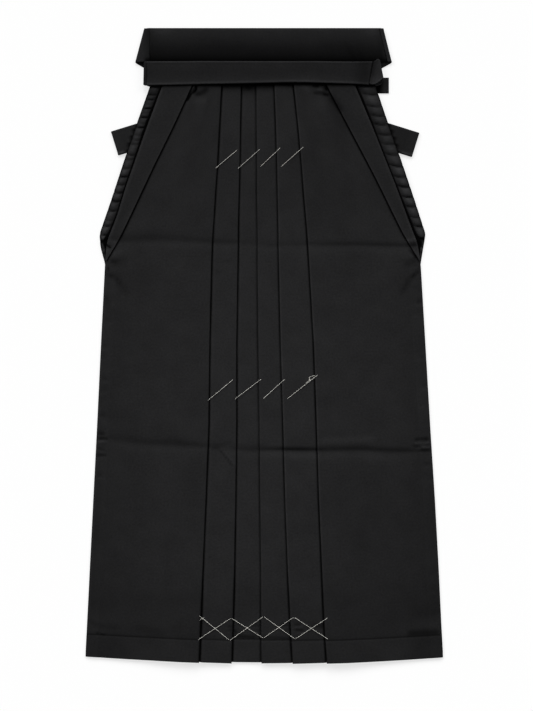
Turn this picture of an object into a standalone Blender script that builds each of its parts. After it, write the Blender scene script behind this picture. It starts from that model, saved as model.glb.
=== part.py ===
"""Hakama trousers laid flat with the front up.

The front cloths are folded into knife pleats that overlap towards the middle. The plain
back cloths lie under them, and the straps of both waistbands are folded away underneath.

Everything is worked out in millimetres: x to the wearer's left, "down" the distance
below the front waistband along the garment, z up from the surface it lies on. Right and
left are the wearer's. Finished points are turned into metres once, in to_metres().
"""

import math
from collections import namedtuple

import bpy
import bmesh
from mathutils import Vector

# ---- Driving dimensions, mm -------------------------------------------------------------

FRONT_LENGTH = 904.0        # front waistband to hem, down the side seam
HEM_DROP = 11.0             # the hem hangs this much lower at the middle
HEM_HALF_WIDTH = 282.7      # where the hem is back up at the front's length
BEND_START = 700.0          # rows of the cloth bend with the hem from here down
BACK_BAND_TOP = 91.3        # top of the back waistband above the front waistband's lower edge
TOTAL_LENGTH = BACK_BAND_TOP + FRONT_LENGTH + HEM_DROP

CLOTH = 1.0                 # thickness of one cloth wall
SEAM_GAP = 0.3              # space between neighbouring pieces
PITCH = CLOTH + SEAM_GAP    # one layer of cloth and the space over it
STRAP = 1.6                 # thickness of a sewn strap
STRAP_PITCH = STRAP + SEAM_GAP

PLEAT_DEPTH = 28.0          # from the outermost fold edge back to the hidden folds
INNER_REACH = 8.0           # the inner leg seams lie this far past the middle fold edge
BACK_PLEAT = 8.0            # width of the turned edge that makes the back pleat
BACK_STEP = 10.0            # width over which the left back cloth climbs onto that edge
BACK_STEP_CLEARANCE = 2.0   # between that edge and the foot of the climb
PLEAT_SAG = 1.3             # the outermost left pleats settle by this much
CREASE_DEPTH = 0.9          # depth of the two storage creases across the front
CREASE_REACH = 9.0          # half the width of a crease
CREASE_SHIFT_REACH = 55.0   # rows bend along a slanting crease over this distance
BACK_HEM_RISE = 4.0         # the back hem lies this much inside the front hem
STRIP_LIFT = 0.1            # side strips lie this much over the seam gap, on a curved panel

GATHER_HEIGHT = 2.4         # height of the puckers along the side openings
GATHER_WIDTH = 13.0         # how far they reach in from the edge
GATHER_SCALLOP = 0.8        # how far a pucker draws the edge in
EDGE_SHARE = 0.35           # of a pucker's height that is left at the very edge
EDGE_ROUNDING = 4.0         # it rises to its full height over this distance
GATHER_COLUMNS = (1.5, 4.5, 8.5, GATHER_WIDTH)
GATHERS_TO_TIP = 30.0       # the gathers stop this far above the end of the opening
ROW_CLEARANCE = 2.5         # sections of the gathers keep this far from those of the bed

FOLD_STEPS = 4              # flats round one fold of cloth
STRAP_FOLD_STEPS = 5
TOP_DOWN = -36.4            # the cloths end here, under the front waistband

BLACK = (0.017, 0.017, 0.018)
BLACK_STRAP = (0.014, 0.014, 0.015)

# Layers of cloth over the surface, from the lowest
BACK_LEVEL = 0
BACK_TURN_LEVEL = 1
BACK_INNER_LEVEL = 2
MIDDLE_LEVEL = 1
RIGHT_TOP_LEVEL = 5
LEFT_TOP_LEVEL = 7

# Places across the wide panels where their slope down to the side seams is worked out
SETTLE_SHARES = (0.12, 0.28, 0.5, 0.75)
SETTLE_START = 2.0          # the slope begins this far outside the hidden folds

# ---- Short tables, mm -------------------------------------------------------------------

# Side edges and fold edges of the front, one row for each section down the garment
FrontRow = namedtuple("FrontRow", "down right_side a_b b_c c_d d_e e_f left_side")
FRONT = [
    FrontRow(TOP_DOWN, -149.5, -66, -36.5, -12.5, 14.5, 42.5, 129),
    FrontRow(0, -161.3, -68, -37, -12.5, 16, 46.5, 143.5),
    FrontRow(65, -185.8, -71.5, -38.5, -12, 18.5, 53.5, 171),
    FrontRow(130, -208.6, -75, -39.5, -11.5, 20.5, 59.5, 196.8),
    FrontRow(165, -220.8, -77.5, -40.5, -11.5, 21, 62, 210.6),
    FrontRow(205, -233, -80, -41.5, -11, 22, 65.5, 225.4),
    FrontRow(235, -245, -82, -42, -10.5, 22.5, 68, 237),
    FrontRow(250, -250.2, -83, -42, -10.5, 22.5, 69, 243),
    FrontRow(282, -252.4, -84, -42.5, -10.5, 23, 71, 247.6),
    FrontRow(410, -258.8, -87, -44.5, -9.5, 26, 78.5, 255.2),
    FrontRow(540, -265, -88.5, -44.5, -7.5, 30, 83, 262.8),
    FrontRow(655, -270.9, -93, -46, -6.5, 33, 86.5, 270.2),
    FrontRow(770, -276.7, -98, -48, -5, 37.5, 91.5, 276.5),
    FrontRow(855, -280.9, -101.5, -50.5, -5, 42, 95.5, 280.4),
    FrontRow(904, -283.4, -103.5, -52, -4.5, 45, 99, 283.1),
]

# Edges of the back cloths: free and gathered down to the end of the side opening
BackRow = namedtuple("BackRow", "down right_edge left_edge")
BACK = [
    BackRow(TOP_DOWN, -168, 163),
    BackRow(0, -180.7, 175.9),
    BackRow(54, -199.8, 194.1),
    BackRow(117, -221.5, 216.3),
    BackRow(181, -242.6, 238),
    BackRow(235, -261.3, 255.6),
    BackRow(255, -259.7, 252),
    BackRow(282, -252.4, 247.6),
]
OPENING_END = BACK[-1].down

# Inner edges of the strips that border the side openings
StripRow = namedtuple("StripRow", "down right_inner left_inner")
STRIPS = [
    StripRow(-30, -99.5, 83.5),
    StripRow(0, -114, 98.5),
    StripRow(65, -144, 133),
    StripRow(130, -176, 167.5),
    StripRow(165, -192.5, 185.5),
    StripRow(205, -211.5, 205),
    StripRow(235, -226, 220),
    StripRow(250, -234, 229),
    StripRow(274, -248, 243.5),
]

# Height of the folded straps that the upper part of the garment lies on
BedRow = namedtuple("BedRow", "down height")
BED = [
    BedRow(-95, 2 * STRAP_PITCH),
    BedRow(130, 2 * STRAP_PITCH),
    BedRow(165, 2.7),
    BedRow(205, 0.9),
    BedRow(235, 0),
    BedRow(920, 0),
]

# Troughs of the gathers down each side opening
RIGHT_GATHERS = (13, 24, 35, 49, 63, 78, 92, 108, 124, 141, 155, 168, 182, 195, 208, 221, 234)
LEFT_GATHERS = (20, 33, 46, 60, 77, 92, 106, 124, 142, 158, 173, 190, 208, 222, 236)

# Storage creases where the garment was folded in three: both slant a little
CREASES = (246, 570)
CreaseRow = namedtuple("CreaseRow", "x upper_shift lower_shift")
CREASE_SHIFTS = [
    CreaseRow(-255, -3, -14),
    CreaseRow(-100, 0, 0),
    CreaseRow(0, 4, 6),
    CreaseRow(260, 7, 9),
]

# Sections of the front cloths between the rows of the tables
FRONT_BETWEEN = {35, 97, 345, 475}

# Top and lower edge of the front waistband
BandRow = namedtuple("BandRow", "x top bottom")
FRONT_BAND = [
    BandRow(-187, -38.6, -0.8),
    BandRow(-10, -38.0, -2.7),
    BandRow(42, -37.8, -4.0),
    BandRow(144, -38.2, -2.7),
    BandRow(174, -38.6, -1.2),
]
BAND_THICKNESS = 2.0
BAND_TURN_HEIGHT = 3.9      # its upper edge turns down over the cloths' ends, to this height
BAND_TURN_END = 5.1         # and to this one at its right end, over the back strap
TURN_SLOPE = 0.05           # the inner face of that turned edge is all but upright
BAND_EDGE = 1.2             # width of a sewn strip's rounded edge
BAND_ROUNDING = 0.5
BAND_CLEARANCE = 0.2        # over the seam gap, where the band bridges what is under it
BAND_END_LIFT = 0.4         # the band's two ends stand this much over the back cloths
PLEAT_DROP = 0.6            # the band comes down this much over the pleats in the middle
STRIP_OVERLAP = 4.0         # the band is level over a strip and this much beyond it
OUTER_STEP = 12.0           # beside the side edges the band comes down over this width
INNER_STEP = 2.0            # and starts to, this far off those edges
RIGHT_BAND_SHARES = (0.25, 0.5, 0.8, 1.0)
LEFT_BAND_SHARES = (0.0, 0.2, 0.5, 0.75)
BAND_RIGHT_END = -186.6
BAND_LEFT_TOP = 173.2
BAND_LEFT_BOTTOM = 166.4

# The back waistband: a straight strip whose ends slant outwards going down
BACK_BAND_BOTTOM = 37.9
BACK_BAND_RIGHT_TOP = -190.2
BACK_BAND_RIGHT_BOTTOM = -204.6
BACK_BAND_LEFT_TOP = 188.5
BACK_BAND_LEFT_BOTTOM = 202.0
BACK_BAND_SEAM = 184.5      # the right strap is sewn on this far from the middle
LEFT_STRAP_SHOWING = 3.7    # of the left strap between its seam and its crease
BACK_STRAP_LENGTH = 95.0    # the first run of each back strap behind the waist
BACK_STRAP_SPREAD = 2.0     # round its fold a back strap's lower edge slips down this far

# The back waistband is soft: full near its upper edge, sinking towards the front one
FormRow = namedtuple("FormRow", "down lowest highest")
BACK_BAND_FORM = [
    FormRow(-BACK_BAND_TOP, 0.4, 1.9),
    FormRow(-BACK_BAND_TOP + 1.6, 0.0, 2.7),
    FormRow(-74, 0.0, 3.0),
    FormRow(-56, 0.0, 2.4),
    FormRow(-BACK_BAND_BOTTOM, 0.0, 1.7),
]
BACK_BAND_STEPS = 4
# Below that edge it laps under the back cloths, between the two front straps
BACK_BAND_LAP = [
    FormRow(-37.6, 0.0, 1.6),
    FormRow(-32.5, 0.0, 1.6),
]
LAP_RIGHT = -150.0
LAP_LEFT = 136.0
BACK_STRAP_HEIGHT = 1.8     # of the strap's middle where it is sewn on

# The middle of a strap behind the waist, its slope and the layer it lies on
StrapStop = namedtuple("StrapStop", "x down slope level")
FRONT_STRAP_WIDTH = 38.0
FOLDED_BACK = 70.0          # the strap's next run, back from the fold that shows

# The right strap starts at the band's right end, and its fold shows beyond the left side
RIGHT_STRAP_CREASE = ((-190.8, -37.4), (-191.5, -0.9))
RIGHT_STRAP = [
    StrapStop(-165, -12.5, 16, 1),
    StrapStop(-70, 12, 14.5, 1),
    StrapStop(82, 51, 14, 1),
    StrapStop(140, 66, 14.5, 0),
    StrapStop(200, 81.9, 16, 0),
]
RIGHT_STRAP_FOLD = ((245.6, 74.5), (234.1, 111.2))

# The left strap twists as it folds. For each place round the fold: its two edges, their
# height over the band's end, and the share of the way down to the run behind
TwistRow = namedtuple("TwistRow", "top_x top_down low_x low_down rise fall")
LEFT_STRAP_TWIST = [
    TwistRow(174.4, -38.6, 167.6, -4.4, 0.3, 0),
    TwistRow(175.9, -39.6, 169.0, -2.4, 0.8, 0),
    TwistRow(178.6, -41.8, 173.8, -1.8, 1.4, 0),
    TwistRow(181.0, -43.0, 179.4, -4.2, 1.2, 0),
    TwistRow(182.6, -42.0, 184.0, -8.0, 0.5, 0),
    TwistRow(183.3, -39.8, 186.2, -10.4, 0, 0.2),
    TwistRow(183.2, -37.0, 186.4, -8.4, 0, 0.6),
    TwistRow(181.0, -36.8, 185.2, -5.0, 0, 1),
]
LEFT_STRAP = [
    StrapStop(160, -13, -16, 1),
    StrapStop(130, -5, -15, 1),
    StrapStop(84, 7, -14.5, 0),
    StrapStop(-60, 44.5, -14.5, 0),
    StrapStop(-200, 81, -17, 0),
]
LEFT_STRAP_FOLD = ((-243.0, 73.0), (-231.8, 108.5))

# The end of the left back strap peeks out below the band
STRAP_END_WIDTH = 25.0
STRAP_END = [StrapStop(197.2, -0.6, 0, 0), StrapStop(168, -0.6, 0, 0)]


# ---- Small helpers ----------------------------------------------------------------------

def at(table, key, value, column):
    """Read a table between its rows along straight lines."""
    rows = [(getattr(row, key), getattr(row, column)) for row in table]
    if value <= rows[0][0]:
        return rows[0][1]
    for (low, start), (high, end) in zip(rows, rows[1:]):
        if value <= high:
            return start + (end - start) * (value - low) / (high - low)
    return rows[-1][1]


def front_at(down, column):
    return at(FRONT, "down", down, column)


def back_edge(down, side):
    """Outer edge of a back cloth: gathered beside the opening, then the side seam."""
    if down <= OPENING_END:
        return at(BACK, "down", down, side + "_edge")
    return front_at(down, side + "_side")


def bed_height(down):
    return at(BED, "down", down, "height")


def smooth(share):
    share = min(max(share, 0.0), 1.0)
    return share * share * (3 - 2 * share)


def settle(share):
    """How far a cloth has come down at this share of the way to its side: fast at first."""
    share = min(max(share, 0.0), 1.0)
    return 1 - (1 - share) ** 2


def crease_dip(down):
    """1 in the middle of a storage crease, 0 away from it."""
    return max(smooth(1 - abs(down - crease) / CREASE_REACH) for crease in CREASES)


def hem_drop(x):
    return HEM_DROP * (1 - (x / HEM_HALF_WIDTH) ** 2)


def to_metres(x, down, z):
    y = TOTAL_LENGTH / 2 - BACK_BAND_TOP - down
    return Vector((x / 1000, y / 1000, z / 1000))


# ---- Walls of cloth ---------------------------------------------------------------------

ClothPoint = namedtuple("ClothPoint", "x z normal_x normal_z")


class Section:
    """One cut across a cloth: its middle line from edge to edge, folded over itself.

    height(level, x) gives the z of a layer's middle. The cloth starts with its face up,
    and each fold turns it over.
    """

    def __init__(self, height, level, face=1):
        self.height = height
        self.level = level
        self.face = face
        self.points = []

    def run(self, *stops):
        """Lie flat on the present layer, through the given x positions."""
        for x in stops:
            self.points.append(ClothPoint(x, self.height(self.level, x), 0, self.face))
        return self

    def fold(self, tip, level):
        """Turn over at x = tip, round half a circle, and go on at another layer."""
        outwards = 1 if tip > self.points[-1].x else -1
        radius = PITCH / 2
        centre = tip - outwards * (radius + CLOTH / 2)
        start = self.height(self.level, centre)
        end = self.height(level, centre)
        middle = (start + end) / 2
        side = self.face if start > end else -self.face
        for step in range(FOLD_STEPS + 1):
            angle = math.pi * step / FOLD_STEPS
            across = math.sin(angle)
            along = math.cos(angle)
            upright = 1 if start > end else -1
            self.points.append(ClothPoint(
                centre + outwards * radius * across,
                middle + (start - middle) * along,
                side * outwards * across,
                side * upright * along))
        self.level = level
        self.face = -self.face
        return self


def wall_object(name, faces_up, faces_down, colour):
    """Close two grids of points, the upper and lower side of a wall, into one body."""
    mesh = bpy.data.meshes.new(name)
    shape = bmesh.new()
    upper = [[shape.verts.new(point) for point in row] for row in faces_up]
    lower = [[shape.verts.new(point) for point in row] for row in faces_down]
    rows = len(upper)
    columns = len(upper[0])
    for i in range(rows - 1):
        for j in range(columns - 1):
            shape.faces.new((upper[i][j], upper[i][j + 1], upper[i + 1][j + 1], upper[i + 1][j]))
            shape.faces.new((lower[i][j], lower[i + 1][j], lower[i + 1][j + 1], lower[i][j + 1]))
    for i in range(rows - 1):
        for j in (0, columns - 1):
            shape.faces.new((upper[i][j], upper[i + 1][j], lower[i + 1][j], lower[i][j]))
    for j in range(columns - 1):
        for i in (0, rows - 1):
            shape.faces.new((upper[i][j], lower[i][j], lower[i][j + 1], upper[i][j + 1]))
    bmesh.ops.recalc_face_normals(shape, faces=shape.faces)
    shape.to_mesh(mesh)
    shape.free()
    piece = bpy.data.objects.new(name, mesh)
    bpy.context.collection.objects.link(piece)
    mesh.materials.append(cloth_material(name, colour))
    mesh.shade_smooth()
    mesh.set_sharp_from_angle(angle=math.radians(40))
    return piece


def cloth_material(name, colour):
    material = bpy.data.materials.new(name)
    material.use_nodes = True
    shader = material.node_tree.nodes["Principled BSDF"]
    shader.inputs["Base Color"].default_value = (*colour, 1.0)
    shader.inputs["Roughness"].default_value = 0.75
    shader.inputs["Metallic"].default_value = 0.0
    material.diffuse_color = (*colour, 1.0)
    return material


def section_wall(name, downs, section_at, down_at):
    """A wall through the sections at each distance down.

    down_at(down, x) lets a row follow a curved hem.
    """
    upper = []
    lower = []
    for down in downs:
        points = section_at(down)
        for grid, side in ((upper, 0.5), (lower, -0.5)):
            grid.append([to_metres(
                point.x + side * CLOTH * point.normal_x,
                down_at(down, point.x),
                point.z + side * CLOTH * point.normal_z) for point in points])
    return wall_object(name, upper, lower, BLACK)


def hem_bend(down):
    return smooth((down - BEND_START) / (FRONT_LENGTH - BEND_START))


def front_rows(down, x):
    """Rows bend along the slanting creases, and with the hem near it."""
    shift = 0.0
    for crease, column in zip(CREASES, ("upper_shift", "lower_shift")):
        nearness = smooth(1 - abs(down - crease) / CREASE_SHIFT_REACH)
        shift += nearness * at(CREASE_SHIFTS, "x", x, column)
    return down + shift + hem_bend(down) * hem_drop(x)


def back_rows(down, x):
    return down + hem_bend(down) * (hem_drop(x) - BACK_HEM_RISE)


# ---- Front cloths -----------------------------------------------------------------------

def front_height(down):
    """z of the lowest front layer's underside, lower in the storage creases."""
    return bed_height(down) + CREASE_DEPTH * (1 - crease_dip(down))


def front_downs():
    """Section places of the front cloths: the tables' rows and the creases."""
    downs = {row.down for row in FRONT} | FRONT_BETWEEN
    for crease in CREASES:
        downs = {down for down in downs if abs(down - crease) > CREASE_REACH + ROW_CLEARANCE}
        downs |= {crease + CREASE_REACH * share for share in (-1, -0.5, 0, 0.5, 1)}
    return sorted(downs)


def right_front_height(down):
    """The right wide panel comes down from the pleats to the side seam."""
    start = front_at(down, "a_b") - PLEAT_DEPTH - SETTLE_START
    side = front_at(down, "right_side")
    base = front_height(down)

    def height(level, x):
        fall = settle((start - x) / (start - side)) if level == RIGHT_TOP_LEVEL else 0
        return base + (level - (level - 1) * fall) * PITCH + CLOTH / 2

    return height


def right_front_section(down):
    """Wide panel A over strip B over strip C, which ends at the inner leg seam."""
    a_b = front_at(down, "a_b")
    b_c = front_at(down, "b_c")
    c_d = front_at(down, "c_d")
    hidden = a_b - PLEAT_DEPTH
    side = front_at(down, "right_side")
    settling = [hidden + (side - hidden) * share for share in reversed(SETTLE_SHARES)]
    section = Section(right_front_height(down), RIGHT_TOP_LEVEL)
    section.run(side, *settling, hidden)
    section.fold(a_b, 4).fold(hidden, 3)
    section.fold(b_c, 2).fold(hidden, MIDDLE_LEVEL)
    section.run(c_d, c_d + INNER_REACH - SEAM_GAP / 2)
    return section.points


def left_front_height(down):
    """The left pleats sag a little outwards, and the wide panel comes down to its side."""
    d_e = front_at(down, "d_e")
    e_f = front_at(down, "e_f")
    start = e_f + PLEAT_DEPTH + SETTLE_START
    side = front_at(down, "left_side")
    base = front_height(down)
    top = base + LEFT_TOP_LEVEL * PITCH - PLEAT_SAG
    bottom = base + PITCH

    def height(level, x):
        sag = PLEAT_SAG * smooth((x - d_e) / (e_f - d_e))
        fall = settle((x - start) / (side - start)) if level == LEFT_TOP_LEVEL else 0
        return base + level * PITCH - sag - fall * (top - bottom) + CLOTH / 2

    return height


def left_front_section(down):
    """Inner leg seam, strip D under strip E under wide panel F."""
    c_d = front_at(down, "c_d")
    d_e = front_at(down, "d_e")
    e_f = front_at(down, "e_f")
    hidden = e_f + PLEAT_DEPTH
    side = front_at(down, "left_side")
    settling = [hidden + (side - hidden) * share for share in SETTLE_SHARES]
    section = Section(left_front_height(down), 2, face=-1)
    section.run(c_d + INNER_REACH - SEAM_GAP / 2)
    section.fold(c_d, 3).run(d_e, (d_e + e_f) / 2, e_f).fold(hidden, 4)
    section.run(e_f, (d_e + e_f) / 2).fold(d_e, 5).run((d_e + e_f) / 2, e_f).fold(hidden, 6)
    section.fold(e_f, LEFT_TOP_LEVEL).run(hidden, *settling, side)
    return section.points


def build_front_cloths():
    downs = front_downs()
    section_wall("front_cloth_right_leg", downs, right_front_section, front_rows)
    section_wall("front_cloth_left_leg", downs, left_front_section, front_rows)


# ---- Back cloths ------------------------------------------------------------------------

def gather_wave(down, troughs):
    """0 in a trough of the gathers, 1 on the crest between two of them."""
    stops = (0, *troughs, OPENING_END - GATHERS_TO_TIP)
    for low, high in zip(stops, stops[1:]):
        if low <= down <= high:
            return math.sin(math.pi * (down - low) / (high - low))
    return 0.0


def back_downs(troughs):
    """Sections at each trough, crest and flank of the gathers, then at the tables' rows."""
    between = [low + (high - low) * share for low, high in zip(troughs, troughs[1:])
               for share in (0.25, 0.5, 0.75)]
    lower = [row.down for row in FRONT if row.down >= OPENING_END]
    upper = [row.down for row in BED if 0 < row.down < OPENING_END]
    gathered = sorted(set(troughs) | set(between))
    kept = [down for down in gathered
            if all(abs(down - row) > ROW_CLEARANCE for row in upper)]
    return sorted({TOP_DOWN, 0, BACK[-2].down, *kept, *upper, *lower})


def gathered_edge(down, side, inwards, troughs):
    """Outer edge of a back cloth, drawn in a little at each trough of its gathers."""
    gathered = 0 < down < OPENING_END - GATHERS_TO_TIP
    pull = GATHER_SCALLOP * (1 - gather_wave(down, troughs)) if gathered else 0
    return back_edge(down, side) + inwards * pull


def back_height(down, edge, inwards, troughs):
    """z of the back cloth's layers, puckered near the free edge of the side opening."""
    base = bed_height(down)
    wave = gather_wave(down, troughs)

    def height(level, x):
        pucker = 0
        if level == BACK_LEVEL:
            inside = (x - edge) * inwards
            pucker = GATHER_HEIGHT * wave * smooth(1 - inside / GATHER_WIDTH)
            pucker *= EDGE_SHARE + (1 - EDGE_SHARE) * smooth(inside / EDGE_ROUNDING)
        return base + level * PITCH + pucker + CLOTH / 2

    return height


def right_back_section(down):
    """From the side to the back pleat, turned up there and back to the inner leg seam."""
    edge = gathered_edge(down, "right", 1, RIGHT_GATHERS)
    turn = front_at(down, "c_d") + INNER_REACH + BACK_PLEAT
    section = Section(back_height(down, edge, 1, RIGHT_GATHERS), BACK_LEVEL)
    section.run(edge, *(edge + step for step in GATHER_COLUMNS), edge / 2)
    section.fold(turn, BACK_TURN_LEVEL)
    section.run(turn - BACK_PLEAT + SEAM_GAP / 2)
    return section.points


def left_back_section(down):
    """From the side inwards, up over the turned edge, to the inner leg seam."""
    edge = gathered_edge(down, "left", -1, LEFT_GATHERS)
    seam = front_at(down, "c_d") + INNER_REACH + SEAM_GAP / 2
    foot = seam + BACK_PLEAT + BACK_STEP_CLEARANCE + BACK_STEP
    section = Section(back_height(down, edge, -1, LEFT_GATHERS), BACK_LEVEL)
    section.run(edge, *(edge - step for step in GATHER_COLUMNS), edge / 2, foot)
    section.level = BACK_INNER_LEVEL
    section.run(foot - BACK_STEP, seam)
    return section.points


def build_back_cloths():
    section_wall("back_cloth_right_leg", back_downs(RIGHT_GATHERS), right_back_section,
                 back_rows)
    section_wall("back_cloth_left_leg", back_downs(LEFT_GATHERS), left_back_section,
                 back_rows)


# ---- Strips beside the side openings ----------------------------------------------------

def build_strip(name, side, height_at, top_level):
    """A strip lies on the wide panel, from under the waistband to the opening's end."""
    downs = [down for down in front_downs() if 0 <= down < STRIPS[-1].down]
    downs = [STRIPS[0].down, *downs, STRIPS[-1].down]

    def section(down):
        height = height_at(down)
        outer = front_at(down, side + "_side")
        inner = at(STRIPS, "down", down, side + "_inner")
        stops = (outer, (outer + inner) / 2, inner)
        return [ClothPoint(x, height(top_level, x) + PITCH + STRIP_LIFT, 0, 1) for x in stops]

    section_wall(name, downs, section, front_rows)


def build_strips():
    build_strip("side_strip_right", "right", right_front_height, RIGHT_TOP_LEVEL)
    build_strip("side_strip_left", "left", left_front_height, LEFT_TOP_LEVEL)


# ---- Waistbands -------------------------------------------------------------------------

def front_band_profile():
    """x and underside of the front waistband, resting on strips, panels and pleats."""
    right = right_front_height(0)
    left = left_front_height(0)
    a_b = front_at(0, "a_b")
    e_f = front_at(0, "e_f")
    right_side = front_at(0, "right_side")
    left_side = front_at(0, "left_side")
    right_strip = STRIPS[0].right_inner + STRIP_OVERLAP
    left_strip = STRIPS[0].left_inner - STRIP_OVERLAP
    on_strip = CLOTH / 2 + SEAM_GAP + PITCH + BAND_CLEARANCE
    on_pleats = on_strip - PLEAT_DROP
    end_height = front_height(0) + PITCH + BAND_END_LIFT
    step_height = end_height + PLEAT_DROP
    profile = [
        (BAND_RIGHT_END, end_height),
        (right_side - OUTER_STEP, step_height),
        (right_side - INNER_STEP, right(RIGHT_TOP_LEVEL, right_side) + on_strip),
    ]
    for share in RIGHT_BAND_SHARES:
        x = right_side + (right_strip - right_side) * share
        profile.append((x, right(RIGHT_TOP_LEVEL, x) + on_strip))
    profile.append((a_b, right(RIGHT_TOP_LEVEL, a_b) + on_pleats))
    profile.append((e_f, left(LEFT_TOP_LEVEL, e_f) + on_pleats))
    for share in LEFT_BAND_SHARES:
        x = left_strip + (left_side - left_strip) * share
        profile.append((x, left(LEFT_TOP_LEVEL, x) + on_strip))
    profile.append((left_side + INNER_STEP, left(LEFT_TOP_LEVEL, left_side) + on_strip))
    profile.append((left_side + OUTER_STEP, step_height))
    profile.append((BAND_LEFT_TOP, end_height))
    return profile


def front_band_rows(x):
    """Across the band: distance down, what the upper side lacks, and if it is turned down."""
    top = at(FRONT_BAND, "x", x, "top")
    bottom = at(FRONT_BAND, "x", x, "bottom")
    turned = TOP_DOWN - SEAM_GAP
    return [
        (top, BAND_ROUNDING, True),
        (turned, 0, True),
        (turned + TURN_SLOPE, 0, False),
        (bottom - BAND_EDGE, 0, False),
        (bottom, BAND_ROUNDING, False),
    ]


def build_front_band():
    """A sewn strip with rounded edges. Its left end slants, beside the twisted fold."""
    columns = []
    for x, underside in front_band_profile():
        column = []
        for place, (down, lack, turned_down) in enumerate(front_band_rows(x)):
            at_left_end = x == BAND_LEFT_TOP and place >= 3
            turned_height = BAND_TURN_END if x == BAND_RIGHT_END else BAND_TURN_HEIGHT
            low = turned_height if turned_down else underside
            end = BAND_LEFT_BOTTOM if at_left_end else x
            column.append((to_metres(end, down, underside + BAND_THICKNESS - lack),
                           to_metres(end, down, low)))
        columns.append(column)
    rows = list(zip(*columns))
    upper = [[pair[0] for pair in row] for row in rows]
    lower = [[pair[1] for pair in row] for row in rows]
    wall_object("front_waistband", upper, lower, BLACK_STRAP)


def crease_x(down, top_x, bottom_x):
    """x of a slanting crease, from the back band's top edge to its bottom edge."""
    share = (down + BACK_BAND_TOP) / (BACK_BAND_TOP - BACK_BAND_BOTTOM)
    return top_x + (bottom_x - top_x) * share


def left_seam(down):
    """The left strap is sewn on alongside its own crease."""
    return crease_x(down, BACK_BAND_LEFT_TOP, BACK_BAND_LEFT_BOTTOM) - LEFT_STRAP_SHOWING


def back_band_ends(down):
    if down > -BACK_BAND_BOTTOM:
        return LAP_RIGHT, LAP_LEFT
    return SEAM_GAP - BACK_BAND_SEAM, left_seam(down) - SEAM_GAP


def build_back_band():
    """A soft strip between the two strap seams, over the folded straps."""
    upper = []
    lower = []
    for row in [*BACK_BAND_FORM, *BACK_BAND_LAP]:
        right_end, left_end = back_band_ends(row.down)
        stops = [right_end + (left_end - right_end) * step / BACK_BAND_STEPS
                 for step in range(BACK_BAND_STEPS + 1)]
        upper.append([to_metres(x, row.down, STRAP_PITCH + row.highest) for x in stops])
        lower.append([to_metres(x, row.down, STRAP_PITCH + row.lowest) for x in stops])
    wall_object("back_waistband", upper, lower, BLACK_STRAP)


# ---- Straps -----------------------------------------------------------------------------

def strap_wall(name, rails):
    """A strap through pairs of points, one on each edge, as (x, down, z) in mm."""
    upper = []
    lower = []
    middles = [(Vector(first) + Vector(second)) / 2 for first, second in rails]
    for index, (first, second) in enumerate(rails):
        before = middles[max(index - 1, 0)]
        after = middles[min(index + 1, len(rails) - 1)]
        normal = (after - before).cross(Vector(second) - Vector(first)).normalized()
        for grid, side in ((upper, 0.5), (lower, -0.5)):
            grid.append([to_metres(*(Vector(point) + side * STRAP * normal))
                         for point in (first, second)])
    return wall_object(name, upper, lower, BLACK_STRAP)


def fold_over(upper_edge, lower_edge, z_start, z_end, outwards):
    """Rails of a half turn round a crease, from one height to another.

    upper_edge and lower_edge are the ends of the crease, its outermost line.
    """
    radius = abs(z_start - z_end) / 2
    crease = Vector(lower_edge) - Vector(upper_edge)
    normal = Vector((crease.y, -crease.x)).normalized()
    if normal.x * outwards < 0:
        normal = -normal
    rails = []
    for step in range(STRAP_FOLD_STEPS + 1):
        angle = math.pi * step / STRAP_FOLD_STEPS
        shift = normal * (radius * math.sin(angle) - radius - STRAP / 2)
        z = (z_start + z_end) / 2 + (z_start - z_end) / 2 * math.cos(angle)
        rails.append(tuple((edge[0] + shift.x, edge[1] + shift.y, z)
                           for edge in (upper_edge, lower_edge)))
    return rails


def carried_on(rail, direction, distance):
    """The same pair of edge points, further along."""
    return tuple((point[0] + direction.x * distance, point[1] + direction.y * distance, point[2])
                 for point in rail)


def spread_out(turn):
    """Let the lower edge slip down evenly round the fold."""
    steps = len(turn) - 1
    return [(first, (second[0], second[1] + BACK_STRAP_SPREAD * count / steps, second[2]))
            for count, (first, second) in enumerate(turn)]


def build_back_strap(name, outwards, seam_top, seam_bottom, top_x, bottom_x):
    """The band's end, folded behind along a slanted crease, then its first run inwards."""
    upper_edge = (top_x, -BACK_BAND_TOP)
    lower_edge = (bottom_x, -BACK_BAND_BOTTOM)
    slant = math.atan2(abs(bottom_x - top_x), BACK_BAND_TOP - BACK_BAND_BOTTOM)
    direction = Vector((-outwards * math.cos(2 * slant), math.sin(2 * slant)))
    z_top = STRAP_PITCH + BACK_STRAP_HEIGHT
    z_low = STRAP / 2
    start = ((seam_top, -BACK_BAND_TOP, z_top), (seam_bottom, -BACK_BAND_BOTTOM, z_top))
    turn = spread_out(fold_over(upper_edge, lower_edge, z_top, z_low, outwards))
    width = BACK_BAND_TOP - BACK_BAND_BOTTOM + BACK_STRAP_SPREAD
    square = Vector((-direction.y, direction.x)) * -outwards * width
    first = carried_on(turn[-1], direction, BACK_STRAP_LENGTH)[0]
    last = (first, (first[0] + square.x, first[1] + square.y, z_low))
    strap_wall(name, [start, *turn, last])


def strap_route(stops, width, steps=4):
    """Pairs of edge points along a strap that lies flat, upper edge first."""
    rails = []
    for start, end in zip(stops, stops[1:]):
        for step in range(steps):
            share = step / steps
            rails.append(strap_rail(start, end, share, width))
    rails.append(strap_rail(stops[-2], stops[-1], 1, width))
    return rails


def strap_rail(start, end, share, width):
    slope = math.radians(start.slope + (end.slope - start.slope) * share)
    x = start.x + (end.x - start.x) * share
    down = start.down + (end.down - start.down) * share
    level = start.level + (end.level - start.level) * smooth(share)
    z = STRAP / 2 + level * STRAP_PITCH
    half = Vector((-math.sin(slope), math.cos(slope))) * width / 2
    return ((x - half.x, down - half.y, z), (x + half.x, down + half.y, z))


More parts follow.
